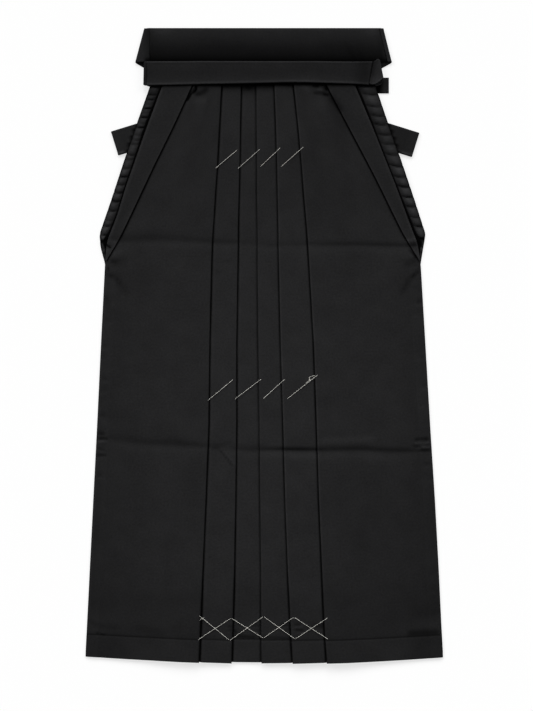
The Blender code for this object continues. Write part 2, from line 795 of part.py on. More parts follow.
def build_front_strap(name, turn, stops, last_fold, outwards):
    """Round the edge of the stack, across behind it, and back from the fold that shows."""
    z_run = STRAP / 2 + STRAP_PITCH
    route = strap_route(stops, FRONT_STRAP_WIDTH)
    showing = fold_over(*last_fold, STRAP / 2, z_run, -outwards)
    edge = Vector(last_fold[1]) - Vector(last_fold[0])
    inwards = Vector((-edge.y, edge.x)).normalized()
    if inwards.x * outwards < 0:
        inwards = -inwards
    strap_wall(name, [*turn, *route, *showing, carried_on(showing[-1], inwards, FOLDED_BACK)])


def build_front_straps():
    z_top = front_height(0) + PITCH + BAND_END_LIFT + BAND_THICKNESS / 2
    z_run = STRAP / 2 + STRAP_PITCH
    right_turn = fold_over(*RIGHT_STRAP_CREASE, z_top, z_run, -1)
    build_front_strap("front_strap_right", right_turn, RIGHT_STRAP, RIGHT_STRAP_FOLD, -1)
    left_turn = []
    for row in LEFT_STRAP_TWIST:
        z = z_top + row.rise + (z_run - z_top) * row.fall
        left_turn.append(((row.top_x, row.top_down, z), (row.low_x, row.low_down, z)))
    build_front_strap("front_strap_left", left_turn, LEFT_STRAP, LEFT_STRAP_FOLD, 1)


def build_strap_end():
    """The end of the left back strap lies flat and peeks out below the band."""
    strap_wall("back_strap_end_left", strap_route(STRAP_END, STRAP_END_WIDTH, steps=1))


def main():
    for thing in list(bpy.data.objects):
        bpy.data.objects.remove(thing, do_unlink=True)
    build_back_cloths()
    build_front_cloths()
    build_strips()
    build_back_band()
    build_front_band()
    build_back_strap("back_strap_right", -1, -BACK_BAND_SEAM, -BACK_BAND_SEAM,
                     BACK_BAND_RIGHT_TOP, BACK_BAND_RIGHT_BOTTOM)
    build_back_strap("back_strap_left", 1, left_seam(-BACK_BAND_TOP), left_seam(-BACK_BAND_BOTTOM),
                     BACK_BAND_LEFT_TOP, BACK_BAND_LEFT_BOTTOM)
    build_front_straps()
    build_strap_end()


main()
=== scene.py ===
"""The looks of black hakama trousers laid flat: cloth, bands, straps and basting threads.

Everything is worked out in millimetres, as in the part's source: x to the wearer's left,
"down" the distance below the front waistband, z up from the floor. Right and left are
the wearer's. Finished points are turned into the frame's metres once, in to_metres().
"""

import math
from collections import namedtuple

import bpy
import numpy as np
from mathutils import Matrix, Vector
from mathutils.bvhtree import BVHTree


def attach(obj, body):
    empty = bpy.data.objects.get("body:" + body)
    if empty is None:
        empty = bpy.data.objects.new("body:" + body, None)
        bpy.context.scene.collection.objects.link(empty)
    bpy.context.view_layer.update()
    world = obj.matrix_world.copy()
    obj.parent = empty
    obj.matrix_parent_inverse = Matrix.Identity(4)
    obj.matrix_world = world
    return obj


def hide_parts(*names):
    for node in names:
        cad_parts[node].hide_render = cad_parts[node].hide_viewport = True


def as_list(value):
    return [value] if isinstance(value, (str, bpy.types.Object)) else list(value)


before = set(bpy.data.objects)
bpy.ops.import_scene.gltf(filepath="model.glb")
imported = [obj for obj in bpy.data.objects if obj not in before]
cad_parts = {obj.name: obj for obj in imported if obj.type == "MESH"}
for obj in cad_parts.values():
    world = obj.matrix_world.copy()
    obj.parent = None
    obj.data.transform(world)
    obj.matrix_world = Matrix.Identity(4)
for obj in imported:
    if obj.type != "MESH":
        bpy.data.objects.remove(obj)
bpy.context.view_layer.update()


def table(kind, *rows):
    """A table whose rows name their columns."""
    return [kind(*row) for row in rows]


# A soft line along an edge: how much it adds or how much light it takes or gives, how far
# from the edge its middle is, and half its width, in mm
Line = namedtuple("Line", "strength place width")


# ---- Sizes shared with the solids, mm

FRONT_LENGTH = 904.0        # front waistband to hem, down the side seam
HEM_DROP = 11.0             # the hem hangs this much lower at the middle
HEM_HALF_WIDTH = 282.7
BACK_BAND_TOP = 91.3        # top of the back waistband above the front waistband's lower edge
TOTAL_LENGTH = BACK_BAND_TOP + FRONT_LENGTH + HEM_DROP
BEND_START = 700.0          # rows of the cloth bend with the hem from here down

PITCH = 1.3                 # one layer of cloth and the space over it
STRAP_PITCH = 1.9           # one folded strap and the space over it
PLEAT_DEPTH = 28.0          # from the outermost fold edge back to the hidden folds
INNER_REACH = 8.0           # the inner leg seams lie this far past the middle fold edge
SEAM_GAP = 0.3              # between the two cloths that meet at an inner leg seam
BACK_PLEAT = 8.0            # width of the turned edge that makes the back pleat
BACK_STEP = 10.0            # width over which the left back cloth climbs onto that edge
PLEAT_SAG = 1.3             # the outermost left pleats settle by this much
BACK_HEM_RISE = 4.0         # the back hem lies this much inside the front hem
FRONT_LIFT = 0.9            # room under the front cloths for the creases
TOP_DOWN = -36.4            # the cloths end here, under the front waistband
RIGHT_TOP_LEVEL = 5
LEFT_TOP_LEVEL = 7

INWARDS = {"right": 1, "left": -1}      # from each side to the middle, along x

FrontRow = namedtuple("FrontRow", "down right_side a_b b_c c_d d_e e_f left_side")
FRONT = table(
    FrontRow,
    (TOP_DOWN, -149.5, -66, -36.5, -12.5, 14.5, 42.5, 129),
    (0, -161.3, -68, -37, -12.5, 16, 46.5, 143.5),
    (65, -185.8, -71.5, -38.5, -12, 18.5, 53.5, 171),
    (130, -208.6, -75, -39.5, -11.5, 20.5, 59.5, 196.8),
    (165, -220.8, -77.5, -40.5, -11.5, 21, 62, 210.6),
    (205, -233, -80, -41.5, -11, 22, 65.5, 225.4),
    (235, -245, -82, -42, -10.5, 22.5, 68, 237),
    (250, -250.2, -83, -42, -10.5, 22.5, 69, 243),
    (282, -252.4, -84, -42.5, -10.5, 23, 71, 247.6),
    (410, -258.8, -87, -44.5, -9.5, 26, 78.5, 255.2),
    (540, -265, -88.5, -44.5, -7.5, 30, 83, 262.8),
    (655, -270.9, -93, -46, -6.5, 33, 86.5, 270.2),
    (770, -276.7, -98, -48, -5, 37.5, 91.5, 276.5),
    (855, -280.9, -101.5, -50.5, -5, 42, 95.5, 280.4),
    (904, -283.4, -103.5, -52, -4.5, 45, 99, 283.1),
)

BackRow = namedtuple("BackRow", "down right_edge left_edge")
BACK = table(
    BackRow,
    (TOP_DOWN, -168, 163), (0, -180.7, 175.9), (54, -199.8, 194.1),
    (117, -221.5, 216.3), (181, -242.6, 238), (235, -261.3, 255.6),
    (255, -259.7, 252), (282, -252.4, 247.6),
)
OPENING_END = BACK[-1].down

StripRow = namedtuple("StripRow", "down right_inner left_inner")
STRIP_END = 276.5           # a strip ends here, in a point this wide
STRIP_TIP = 2.3
STRIPS = table(
    StripRow,
    (-30, -99.5, 83.5), (0, -114, 98.5), (65, -144, 133),
    (130, -176, 167.5), (165, -192.5, 185.5), (205, -211.5, 205),
    (235, -226, 220), (250, -234, 229), (290, -257.8, 253.2),
)

BedRow = namedtuple("BedRow", "down height")
BED = table(
    BedRow,
    (-95, 2 * STRAP_PITCH), (130, 2 * STRAP_PITCH), (165, 2.7),
    (205, 0.9), (235, 0), (920, 0),
)

BandRow = namedtuple("BandRow", "x top bottom")
FRONT_BAND = table(
    BandRow,
    (-187, -38.1, 0.3), (-100, -37.7, -0.9), (-10, -37.4, -2.5),
    (42, -37.2, -3.9), (144, -37.6, -2.1), (171, -38.2, 0.0),
)
BAND_TOP_LINE = 38.3        # middle of its upper edge, above the front's upper end
BAND_RIGHT_END = -189.4
BAND_LEFT_END = 169.0
BAND_LEFT_SLANT = (5.4, -1.6)   # its left end goes out at the top and in at the bottom

BACK_BAND_BOTTOM = 37.9
BACK_BAND_RIGHT_TOP = -190.2
BACK_BAND_RIGHT_BOTTOM = -204.6
BACK_BAND_LEFT_TOP = 188.5
BACK_BAND_LEFT_BOTTOM = 202.0
BACK_BAND_SEAM = 184.5
BACK_STRAP_LENGTH = 95.0
BACK_STRAP_SPREAD = 2.0     # round its fold a back strap's lower edge slips down this far
LAP_RIGHT = -150.0          # below its edge it laps under the back cloths, between the straps
LAP_LEFT = 136.0
LAP_END = -32.5
BAND_TURN_HEIGHT = 3.9      # the front band turns down over the cloths' ends, to this height
BAND_TURN_END = 5.1         # and to this one at its right end, over the back strap

StrapStop = namedtuple("StrapStop", "x down slope level")
FRONT_STRAP_WIDTH = 38.0
FOLDED_BACK = 70.0
RIGHT_STRAP_CREASE = ((-190.8, -37.4), (-191.5, -0.9))
RIGHT_STRAP = table(
    StrapStop,
    (-165, -12.5, 16, 1), (-70, 12, 14.5, 1), (82, 51, 14, 1),
    (140, 66, 14.5, 0), (200, 82.7, 16, 0),
)
RIGHT_STRAP_FOLD = ((245.6, 74.5), (233.6, 112.8))
LEFT_STRAP = table(
    StrapStop,
    (160, -13, -16, 1), (130, -5, -15, 1), (84, 7, -14.5, 0),
    (-60, 44.5, -14.5, 0), (-200, 81, -17, 0),
)
LEFT_STRAP_FOLD = ((-243.0, 72.4), (-231.3, 110.2))
STRAP_END_WIDTH = 25.0
STRAP_END = table(StrapStop, (197.2, -0.6, 0, 0), (168, -0.6, 0, 0))

# ---- Sizes of the finished surface, mm

CLOTH = 0.6                 # real thickness of the shells
STRAP = 1.3
CLEARANCE = 0.05            # from a cloth or a strap to what it lies on
STRAP_REST = STRAP / 2 + CLEARANCE      # middle of a strap that lies on the floor
STRAP_RUN = STRAP_REST + STRAP_PITCH    # and of one that lies over another
FOLD_STEPS = 6              # flats round one fold of cloth
ROUNDING = 9.0              # corners of the tables are eased over this distance
BED_ROUNDING = 16.0
BAND_ROUNDING = 14.0
CREASE_ROUNDING = 12.0
GATHER_ROUNDING = 5.0       # for the free edges of the back cloths

COARSE_ROW = 5.8            # from one row of a shell's points to the next
FINE_ROW = 2.0              # and over the front's waist, creases and hem
FINE_ZONES = ((-6, 30), (226, 276), (546, 604), (838, 905))
BACK_ROW = 7.0
BACK_FINE_ZONES = ((-2, 286), (838, 905))
STRIP_ROW = 4.0
STRIP_FINE_ZONES = ((-6, 20), (226, 276))

HEM_TURN = 35.0             # depth of the turned-up hem
HEM_LAYER = 0.35            # what the turned-up layer adds
HEM_GROOVE = Line(0.3, 1.2, 1.6)    # its stitched line
HEM_PUFF = 0.1              # height of the puffs along it
WAIST_RIPPLE = 0.13         # height of the fine ripples across the pleats under the waist
SEAM_BAND = 19.0            # width of the side seam's allowance
SEAM_LAYER = 0.3

# How far each front cloth's hem slips from the common curve, at marks across it
HEM_SLIPS = {
    "right": (0.1, -0.8, -0.3, -2.1, 0.2, -2.0, -2.0),
    "left": (-0.6, -0.6, -2.0, 0.1, -0.8, 0.6, 1.3),
}

# Troughs of the gathers down each side opening, uneven in place and depth
Trough = namedtuple("Trough", "down depth")
GATHERS = {
    "right": table(
        Trough,
        (14, 0.9), (21.5, 0.8), (29, 0.4), (35.5, 1.1), (42, 0.35), (49.5, 1.0), (59, 0.35),
        (65.5, 1.05), (78, 0.55), (85, 0.5), (92, 0.55), (109, 0.9), (116, 0.55), (130, 0.75),
        (143.5, 1.1), (156, 0.85), (168.5, 1.05), (182, 1.1), (197, 0.9), (212, 0.45), (221, 0.9),
        (235, 1.0), (246, 2.8), (257, 0.5), (264, 0.7),
    ),
    "left": table(
        Trough,
        (13, 0.75), (32, 0.8), (47, 0.85), (61, 0.9), (77, 0.85), (92, 0.7), (108.5, 0.85),
        (126.5, 1.05), (144, 0.95), (159, 1.2), (175.5, 1.0), (190.5, 1.0), (207, 0.75),
        (221.5, 1.0), (241.5, 2.8), (254, 0.8), (262, 0.6),
    ),
}

# Down each opening: the light on the crests, and the width of the hollow beside the strip
MarginRow = namedtuple("MarginRow", "down right_light left_light right_hollow left_hollow")
MARGIN = table(
    MarginRow,
    (0, 0.60, 0.48, 3.4, 4.6), (18, 0.66, 0.95, 4.6, 5.6),
    (45, 0.76, 0.72, 5.6, 5.0), (75, 0.82, 0.76, 5.6, 4.0),
    (100, 0.84, 0.80, 4.4, 3.8), (140, 0.98, 0.94, 4.0, 3.6),
    (170, 0.96, 1.02, 3.4, 4.0), (210, 0.92, 0.96, 3.6, 5.4),
    (232, 1.00, 0.90, 4.4, 5.6), (243, 1.05, 0.90, 8.5, 9.0),
    (251, 0.95, 0.90, 7.5, 9.0), (258, 0.85, 0.90, 2.2, 3.4),
)

# The storage creases, soft valleys across the front: down is a valley's lowest line,
# and above and below are the widths of its two sides
CreaseStop = namedtuple("CreaseStop", "x down depth above below")
UPPER_CREASE = table(
    CreaseStop,
    (-260, 244, 0.8, 8.0, 9), (-213, 244, 1.35, 9.5, 11),
    (-181, 242.2, 1.3, 9.5, 11), (-134, 244.3, 1.1, 9.0, 10),
    (-102, 246.6, 1.0, 7.5, 9), (-64, 249.6, 0.9, 5.5, 8),
    (-26, 249, 0.45, 5.5, 8), (6, 253.6, 0.45, 5.5, 8),
    (64, 252, 0.6, 5.0, 8), (104, 252.6, 1.0, 5.0, 9),
    (152, 252.2, 1.2, 5.0, 9), (199, 253.8, 1.5, 4.6, 9),
    (223, 253.8, 1.5, 4.0, 9), (260, 254.6, 0.8, 4.0, 9),
)
LOWER_CREASE = table(
    CreaseStop,
    (-270, 554, 0.4, 5.5, 9), (-248, 558.2, 0.7, 7.0, 9),
    (-213, 563, 1.25, 8.5, 12), (-181, 566.2, 1.4, 8.5, 12.5),
    (-134, 567.7, 1.35, 8.5, 12), (-98, 571, 1.2, 7.0, 9),
    (-84, 572, 0.2, 5.0, 8), (-56, 574, 0.2, 4.5, 8),
    (-38, 576.5, 1.3, 6.4, 8), (-12, 576.5, 1.35, 6.0, 8),
    (4, 576.8, 1.5, 4.2, 8), (20, 576.6, 1.6, 3.8, 8),
    (38, 576.9, 2.7, 3.8, 9.5), (76, 577.7, 2.45, 4.0, 9.5),
    (90, 577.6, 1.5, 5.0, 10), (152, 576.2, 1.95, 5.6, 12),
    (199, 579.0, 1.95, 5.4, 12), (230, 579.0, 1.5, 4.6, 9),
    (252, 579.6, 0.6, 3.4, 8), (270, 580.4, 0.6, 3.2, 8),
)

# Other furrows of the front, with a minus depth for a ridge
Furrow = namedtuple("Furrow", "x_start down_start x_end down_end width depth")
FURROWS = table(
    Furrow,
    (-256, 296.5, -240, 300, 2.2, 1.5), (-238, 301, -227, 316, 3.4, 0.75),
    (-227, 316, -215, 331, 5, 0.4), (-256, 334, -248, 335, 2.4, 0.5),
    (-256, 345, -244, 346, 2.4, 0.6), (-243, 278.5, -232, 280.5, 3.4, 1.1),
    (-240, 281, -218, 277, 6, 0.4), (-252, 285, -246, 289, 1.6, 1.5),
    (-246, 271, -226, 263, 5, -0.4), (248, 291, 239, 298, 2.6, 0.9),
    (240, 297.5, 233, 303, 3.0, 1.2), (232, 304, 217, 330, 4.5, 0.6),
    (252, 339, 242, 341, 3.0, 0.6), (243, 277, 222, 284, 6, 0.7),
    (249, 270, 232, 268, 4, -0.5), (-252, 250.5, -243, 257, 1.6, 2.4),
    (-251, 263, -244, 262, 3, -0.5), (-246, 246, -234, 249, 2.5, -0.6),
    (226, 247, 242, 243, 3, -0.8), (231, 254, 241, 251, 2.5, 0.9),
    (230, 260.5, 234, 264, 2.0, 0.9), (234, 264, 241, 273, 2.0, 1.3),
    (-76, 281, -53, 278, 2.2, 0.4), (-78, 295, -66, 297, 2.2, 0.35),
    (-83, 573, -70, 577, 3.0, 0.35), (-70, 577, -50, 602, 1.9, 0.7),
    (-68, 574, -47, 600, 2.2, -0.35), (-80, 573, -50, 564, 4, 0.3),
    (90, 564, 176, 560, 6, -0.45), (-264, 551, -253, 552, 2.2, 0.9),
    (-265, 555, -247, 556, 2.0, -0.5), (-262, 559.5, -248, 560, 2.2, 0.8),
    (-267, 564, -252, 562, 2.5, -0.4), (-266, 585, -250, 586, 2.5, 0.6),
    (238, 561, 260, 559, 2.6, 0.9), (238, 567, 260, 565, 2.2, -0.6),
    (235, 571, 249, 572, 2.2, 0.8), (243, 573.5, 262, 572, 2.0, -0.6),
    (248, 578, 263, 577, 2.4, 0.9), (-109, 1.5, -107, 7, 1.8, 2.2),
    (-107, 7, -114, 13, 2.4, 2.0), (-115, 12.5, -122.5, 25, 2.2, 1.8),
    (-113.5, 6, -110.5, 2, 1.4, -1.8), (-110, 14, -99, 14.5, 3.8, 1.2),
    (-99, 14.5, -90, 6, 4.8, 1.1), (-112, 27, -92, 25, 5, -0.4),
    (-30, 1, -22, 6, 3, 0.8), (58, 3, 72, 9, 5, -0.5),
    (76, 1.5, 86, 3, 2.6, 1.1), (78, 13, 92, 14, 3.0, 0.9),
    (92, 14, 103, 15.5, 3.4, 1.7), (96, 3, 100, 9, 3.4, 1.8),
    (84, 7.5, 92, 8, 2.4, -0.6), (103, 17, 122, 42, 5.5, 1.0),
    (84, 26, 100, 34, 8, -0.3), (104, 22, 128, 70, 12, 0.5),
    (-277, 846, -266, 856, 4.5, 0.4), (-266, 856, -230, 859, 6, 0.35),
    (-266, 866.5, -262, 868.5, 1.6, 0.9), (-260, 868.5, -252, 871, 1.6, 1.0),
    (-258, 866, -254, 866.5, 1.4, -0.4), (-205, 858, -160, 868, 8, 0.35),
    (228, 868, 276, 866, 5, 0.95), (232, 834, 278, 838, 14, 0.45),
    (47, 853, 58, 853, 2.2, 0.9), (50, 861, 62, 863, 2.2, 1.0),
    (48, 857, 60, 858, 2.0, -0.5), (-42, 872.5, -14, 874, 2.6, 1.0),
    (-8, 874, 40, 875.5, 2.4, 0.7), (-58, 855, -51, 857, 2.0, 0.7),
    (-57, 862, -51, 863, 2.0, 0.6), (-48, 861, -42, 873, 2.6, 0.9),
    (-17, 855, -6, 856, 2.2, 0.6), (-14, 862, -6, 865, 2.2, 0.5),
    (27, 853, 41, 856, 2.2, 0.8), (30, 862, 42, 861, 2.4, 0.5),
    (77, 853, 94, 858, 3.0, 0.7),
)

# Slow changes of tone over the front: middle, half widths and depth
Shade = namedtuple("Shade", "x down across along depth")
SHADES = table(
    Shade,
    (185, 720, 100, 140, 0.08), (90, 105, 80, 80, 0.10),
    (-95, 90, 70, 60, 0.06), (-60, 230, 20, 80, 0.05),
    (-190, 832, 75, 45, 0.06), (0, 815, 400, 34, 0.10),
    (0, 440, 400, 140, -0.05), (225, 842, 30, 16, 0.12),
)

# Uneven ripples down the side seams, at these distances down
RIPPLES = {
    "right": (333, 344, 355, 374, 411, 428, 461, 483, 520, 531, 555, 561, 575, 588, 615),
    "left": (303, 323, 341, 363, 418, 431, 475, 507, 561, 571, 598, 621, 769, 800, 834),
}

# Slow swells of the whole front: wavelengths and phases
Swell = namedtuple("Swell", "across down phase height")
SWELLS = table(
    Swell,
    (190, 310, 0.4, 0.16), (-120, 230, 2.1, 0.12), (75, -420, 4.0, 0.08),
    (330, 95, 1.2, 0.07), (-260, 61, 5.3, 0.05),
)


# ---- Small helpers

def eased(values, knots, readings, reach, count):
    """Read between knots, with the corners at the knots eased over this reach."""
    offsets = np.linspace(-reach, reach, count)
    return sum(np.interp(values + offset, knots, readings) for offset in offsets) / count


def at(rows, key, values, column, rounding=ROUNDING):
    """Read a table between its rows, with the corners at its rows eased."""
    knots = [getattr(row, key) for row in rows]
    readings = [getattr(row, column) for row in rows]
    return eased(np.asarray(values, dtype=float), knots, readings, rounding, 7)


def front_at(down, column):
    return at(FRONT, "down", down, column)


def bed_height(down):
    """Height of what the back cloths lie on: two layers of straps, and further down the floor."""
    return at(BED, "down", down, "height", BED_ROUNDING)


def from_side(x, row, side):
    """Distance inwards from a side edge of the front."""
    return (x - front_at(row, side + "_side")) * INWARDS[side]


def smooth(share):
    share = np.clip(share, 0.0, 1.0)
    return share * share * (3 - 2 * share)


def settle(share):
    """How far a cloth has come down at this share of the way to its side: fast at first."""
    share = np.clip(share, 0.0, 1.0)
    return 1 - (1 - share) ** 2


def mix(first, last, share):
    return first + (last - first) * share


def bell(distance, width):
    return np.exp(-(distance / width) ** 2)


def drawn(line, distance):
    """Strength of a line at this distance from its edge."""
    return line.strength * bell(distance - line.place, line.width)


def uneven(count, step):
    """An uneven share from 0 to 1 for each of a row of things."""
    return (count * step) % 1


def hung(row, x, slip):
    """Distance down of a row of cloth, which bends with the curved hem near its end."""
    bend = smooth((row - BEND_START) / (FRONT_LENGTH - BEND_START))
    return row + bend * (HEM_DROP * (1 - (x / HEM_HALF_WIDTH) ** 2) + slip)


def to_metres(x, down, z):
    x, down, z = np.broadcast_arrays(x, down, z)
    y = TOTAL_LENGTH / 2 - BACK_BAND_TOP - down
    return np.stack((x, y, z), axis=-1) / 1000


def row_places(start, end, fine_zones, coarse):
    """Distances down for the rows of a cloth, closer together where it has fine form."""
    downs = [start]
    while downs[-1] < end:
        here = downs[-1]
        step = FINE_ROW if any(low <= here < high for low, high in fine_zones) else coarse
        downs.append(min(here + step, end))
    return np.array(downs, dtype=float)


def add_object(name, data):
    item = bpy.data.objects.new(name, data)
    bpy.context.collection.objects.link(item)
    return item


# ---- Shells

SHARP_ANGLE = 50            # degrees between faces that are not shaded as one

# Each shell as a sheet: its flat size in mm, its material, what it rests on, and in square
# metres the area of a strip, which narrows to a point
SheetCut = namedtuple("SheetCut", "width length slot rests_on area")
BACKS = ["back_cloth_right_leg", "back_cloth_left_leg"]
SHEETS = {
    "back_cloth_right_leg": SheetCut(310, 975, "black_cloth", ["front_strap_left"], None),
    "back_cloth_left_leg": SheetCut(300, 975, "black_cloth", ["front_strap_left"], None),
    "front_cloth_right_leg": SheetCut(480, 985, "black_cloth", BACKS, None),
    "front_cloth_left_leg": SheetCut(530, 985, "black_cloth", BACKS, None),
    "side_strip_right": SheetCut(54, 307, "black_cloth", ["front_cloth_right_leg"], 0.0105),
    "side_strip_left": SheetCut(54, 307, "black_cloth", ["front_cloth_left_leg"], 0.0105),
    "front_waistband": SheetCut(356, 38, "black_band", BACKS, None),
    "back_waistband": SheetCut(362, 54, "black_band", ["back_strap_right"], None),
    "front_strap_right": SheetCut(38, 520, "black_band", [], None),
    "front_strap_left": SheetCut(38, 510, "black_band", [], None),
    "back_strap_right": SheetCut(53.4, 120, "black_band", [], None),
    "back_strap_left": SheetCut(53.4, 120, "black_band", [], None),
    "back_strap_end_left": SheetCut(25, 29.2, "black_band", [], None),
}


def arc_lengths(points):
    """Distance along a line of points, in the points' own unit."""
    steps = np.linalg.norm(np.diff(points, axis=0), axis=1)
    return np.concatenate(([0.0], np.cumsum(steps)))


def closed_faces(rows, columns):
    """Faces of two grids of points, one over the other, and of the rim between them."""
    count = rows * columns
    index = np.arange(count).reshape(rows, columns)
    a, b, c, d = index[:-1, :-1], index[:-1, 1:], index[1:, 1:], index[1:, :-1]
    top = np.stack((a, b, c, d), axis=-1).reshape(-1, 4)
    under = np.stack((a, d, c, b), axis=-1).reshape(-1, 4) + count
    rim_points = np.concatenate((index[0], index[1:, -1], index[-1, -2::-1], index[-2:0:-1, 0]))
    after = np.roll(rim_points, -1)
    sides = np.stack((after, rim_points, rim_points + count, after + count), axis=-1)
    return np.concatenate((top, under, sides))


def add_weave(mesh, upper):
    """A UV in metres along the middle row and the middle column of the cloth."""
    rows, columns = upper.shape[:2]
    across = arc_lengths(upper[rows // 2])
    along = arc_lengths(upper[:, columns // 2])
    flat = np.stack(np.meshgrid(across, along), axis=-1).reshape(-1, 2)
    flat = np.concatenate((flat, flat))
    corners = np.empty(len(mesh.loops), dtype=np.int32)
    mesh.loops.foreach_get("vertex_index", corners)
    layer = mesh.uv_layers.new(name="Weave")
    layer.data.foreach_set("uv", flat[corners].ravel())


def shell(node, upper, lower, material, tone):
    """Close two grids of points, a cloth's two sides, into the thin body that shows a node.

    tone is darker than 1 where folds press together, as painted shade, and lighter on edges, as
    painted highlights.
    """
    rows, columns = upper.shape[:2]
    faces = closed_faces(rows, columns)
    points = np.concatenate((upper.reshape(-1, 3), lower.reshape(-1, 3)))
    row, column = rows // 2, columns // 2
    here = upper[row, column]
    outwards = np.cross(upper[row, column + 1] - here, upper[row + 1, column] - here)
    if np.dot(outwards, here - lower[row, column]) < 0:
        faces = faces[:, ::-1]
    mesh = bpy.data.meshes.new(node + "_shell")
    mesh.from_pydata(points.tolist(), [], faces.tolist())
    add_weave(mesh, upper)
    mesh.shade_smooth()
    mesh.set_sharp_from_angle(angle=math.radians(SHARP_ANGLE))
    tones = np.broadcast_to(tone, (rows, columns)).ravel()
    field = mesh.attributes.new("Tone", "FLOAT", "POINT")
    field.data.foreach_set("value", np.concatenate((tones, tones)).astype(np.float32))
    mesh.validate()
    mesh.materials.append(material)
    piece = add_object(node + "_shell", mesh)
    cut = SHEETS[node]
    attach(piece, "root")
    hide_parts(node)
    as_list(cut.rests_on)
    return piece


class Section:
    """Cuts across a cloth, one for each row: its middle line from edge to edge, folded.

    height(level, x) gives the z of a layer's middle. The cloth starts with its face up,
    and each fold turns it over. Marks set how far its hem slips, between folds.
    """

    def __init__(self, height, level, start, face=1):
        self.height = height
        self.level = level
        self.face = face
        self.x = []
        self.z = []
        self.side_x = []
        self.side_z = []
        self.marks = []
        self.add(start, height(level, start[:, None])[:, 0], 0, face)

    def add(self, x, z, side_x, side_z):
        self.x.append(x)
        self.z.append(z)
        self.side_x.append(np.full_like(x, side_x))
        self.side_z.append(np.full_like(x, side_z))

    def run(self, stop, count):
        """Lie on the present layer as far as stop, in this many steps."""
        start = self.x[-1]
        for step in range(1, count + 1):
            x = start + (stop - start) * step / count
            self.add(x, self.height(self.level, x[:, None])[:, 0], 0, self.face)
        return self

    def mark(self):
        self.marks.append(len(self.x) - 1)
        return self

    def fold(self, tip, level, count):
        """Run to a fold whose edge is at tip, turn round it, and go on at another layer."""
        outwards = 1 if tip[0] > self.x[-1][0] else -1
        radius = PITCH / 2
        centre = tip - outwards * (radius + CLOTH / 2)
        self.run(centre, count)
        start = self.height(self.level, centre[:, None])[:, 0]
        end = self.height(level, centre[:, None])[:, 0]
        middle = (start + end) / 2
        upright = 1 if start[0] > end[0] else -1
        side = self.face * upright
        for step in range(1, FOLD_STEPS + 1):
            angle = math.pi * step / FOLD_STEPS
            across = math.sin(angle)
            along = math.cos(angle)
            self.add(centre + outwards * radius * across, middle + (start - middle) * along,
                     side * outwards * across, side * upright * along)
            if step == FOLD_STEPS // 2:
                self.mark()
        self.level = level
        self.face = -self.face
        return self

    def grids(self, slips):
        """The cuts as grids of points and sides, and the hem's slip in each column."""
        columns = [np.stack(part, axis=1) for part in (self.x, self.z, self.side_x, self.side_z)]
        return (*columns, np.interp(np.arange(len(self.x)), self.marks, slips))


def laid(z, relief, row):
    """Add relief to a layer's height, less of it where the layer would press into the back."""
    lowest = bed_height(row) + 1.5 * CLOTH + CLEARANCE
    room = np.maximum(0.9 * (z - lowest), 0.02)
    return z + np.where(relief < 0, room * np.tanh(relief / room), relief)


def section_shell(side, downs, section, material):
    """A front cloth through sections, whose rows bend with the hem near its end."""
    x, z, side_x, side_z, slip = section.grids(HEM_SLIPS[side])
    row = downs[:, None] + 0 * x
    down = hung(row, x, slip)
    z = laid(z, front_relief(x, down, row), row)
    half = CLOTH / 2
    upper = to_metres(x + half * side_x, down, z + half * side_z)
    lower = to_metres(x - half * side_x, down, z - half * side_z)
    tone = front_tone(x, row) * relief_tone(x, down, row)
    return shell(f"front_cloth_{side}_leg", upper, lower, material, tone)


# ---- Relief of the front

def crease_at(x, stops):
    """A crease's lowest line, depth and two widths, at each x."""
    return [at(stops, "x", x, column, CREASE_ROUNDING) for column in CreaseStop._fields[1:]]


def crease(x, down, stops):
    """A soft valley, steeper on its upper side."""
    line, depth, above, below = crease_at(x, stops)
    offset = down - line
    return -depth * bell(offset, np.where(offset < 0, above, below))


def furrow(x, down, mark):
    """A soft trough along a short line, fading out at both ends."""
    length = math.hypot(mark.x_end - mark.x_start, mark.down_end - mark.down_start)
    along_x = (mark.x_end - mark.x_start) / length
    along_down = (mark.down_end - mark.down_start) / length
    along = (x - mark.x_start) * along_x + (down - mark.down_start) * along_down
    aside = (down - mark.down_start) * along_x - (x - mark.x_start) * along_down
    fade = smooth((along + mark.width) / (2 * mark.width))
    fade = fade * smooth((length + mark.width - along) / (2 * mark.width))
    return -mark.depth * bell(aside, mark.width) * fade


def over_allowance(inside):
    """1 over a side seam's allowance and 0 past it."""
    return smooth((SEAM_BAND + 1.5 - inside) / 3)


def side_seam(x, down, row, side):
    """The seam allowance shows through as a faint step, and ripples unevenly."""
    inside = from_side(x, row, side)
    below = smooth((down - OPENING_END + 12) / 24)
    ripple = 0.0
    for count, place in enumerate(RIPPLES[side]):
        strength = 0.4 + 0.5 * uneven(count, 0.618)
        slanted = down - place - 0.2 * inside * (-1) ** count
        dent = bell(slanted, 2.7) - 0.5 * bell(slanted - 5, 3.2)
        ripple = ripple - strength * dent * bell(inside - 8, 7)
    return SEAM_LAYER * (over_allowance(inside) * below) + ripple * below


def hem_form(x, row):
    """The turned-up layer, the stitched line above it and the puffs along that line."""
    above = FRONT_LENGTH - HEM_TURN - row
    turned = HEM_LAYER * smooth(0.5 - above / 2.4)
    groove = -drawn(HEM_GROOVE, above)
    puffs = HEM_PUFF * np.sin(x / 5.2) * np.sin(x / 17.0 + 1) * bell(above - 6, 7)
    return turned + groove + puffs


HEM_SHADE = 0.24            # share of light lost just above the hem's line
HEM_SHADE_REACH = 26
HEM_LINE_SHADE = Line(0.42, 1.0, 1.1)
HEM_LAYER_SHADE = 0.13      # and over the turned-up layer
HEM_CORNER_SHADE = 0.20


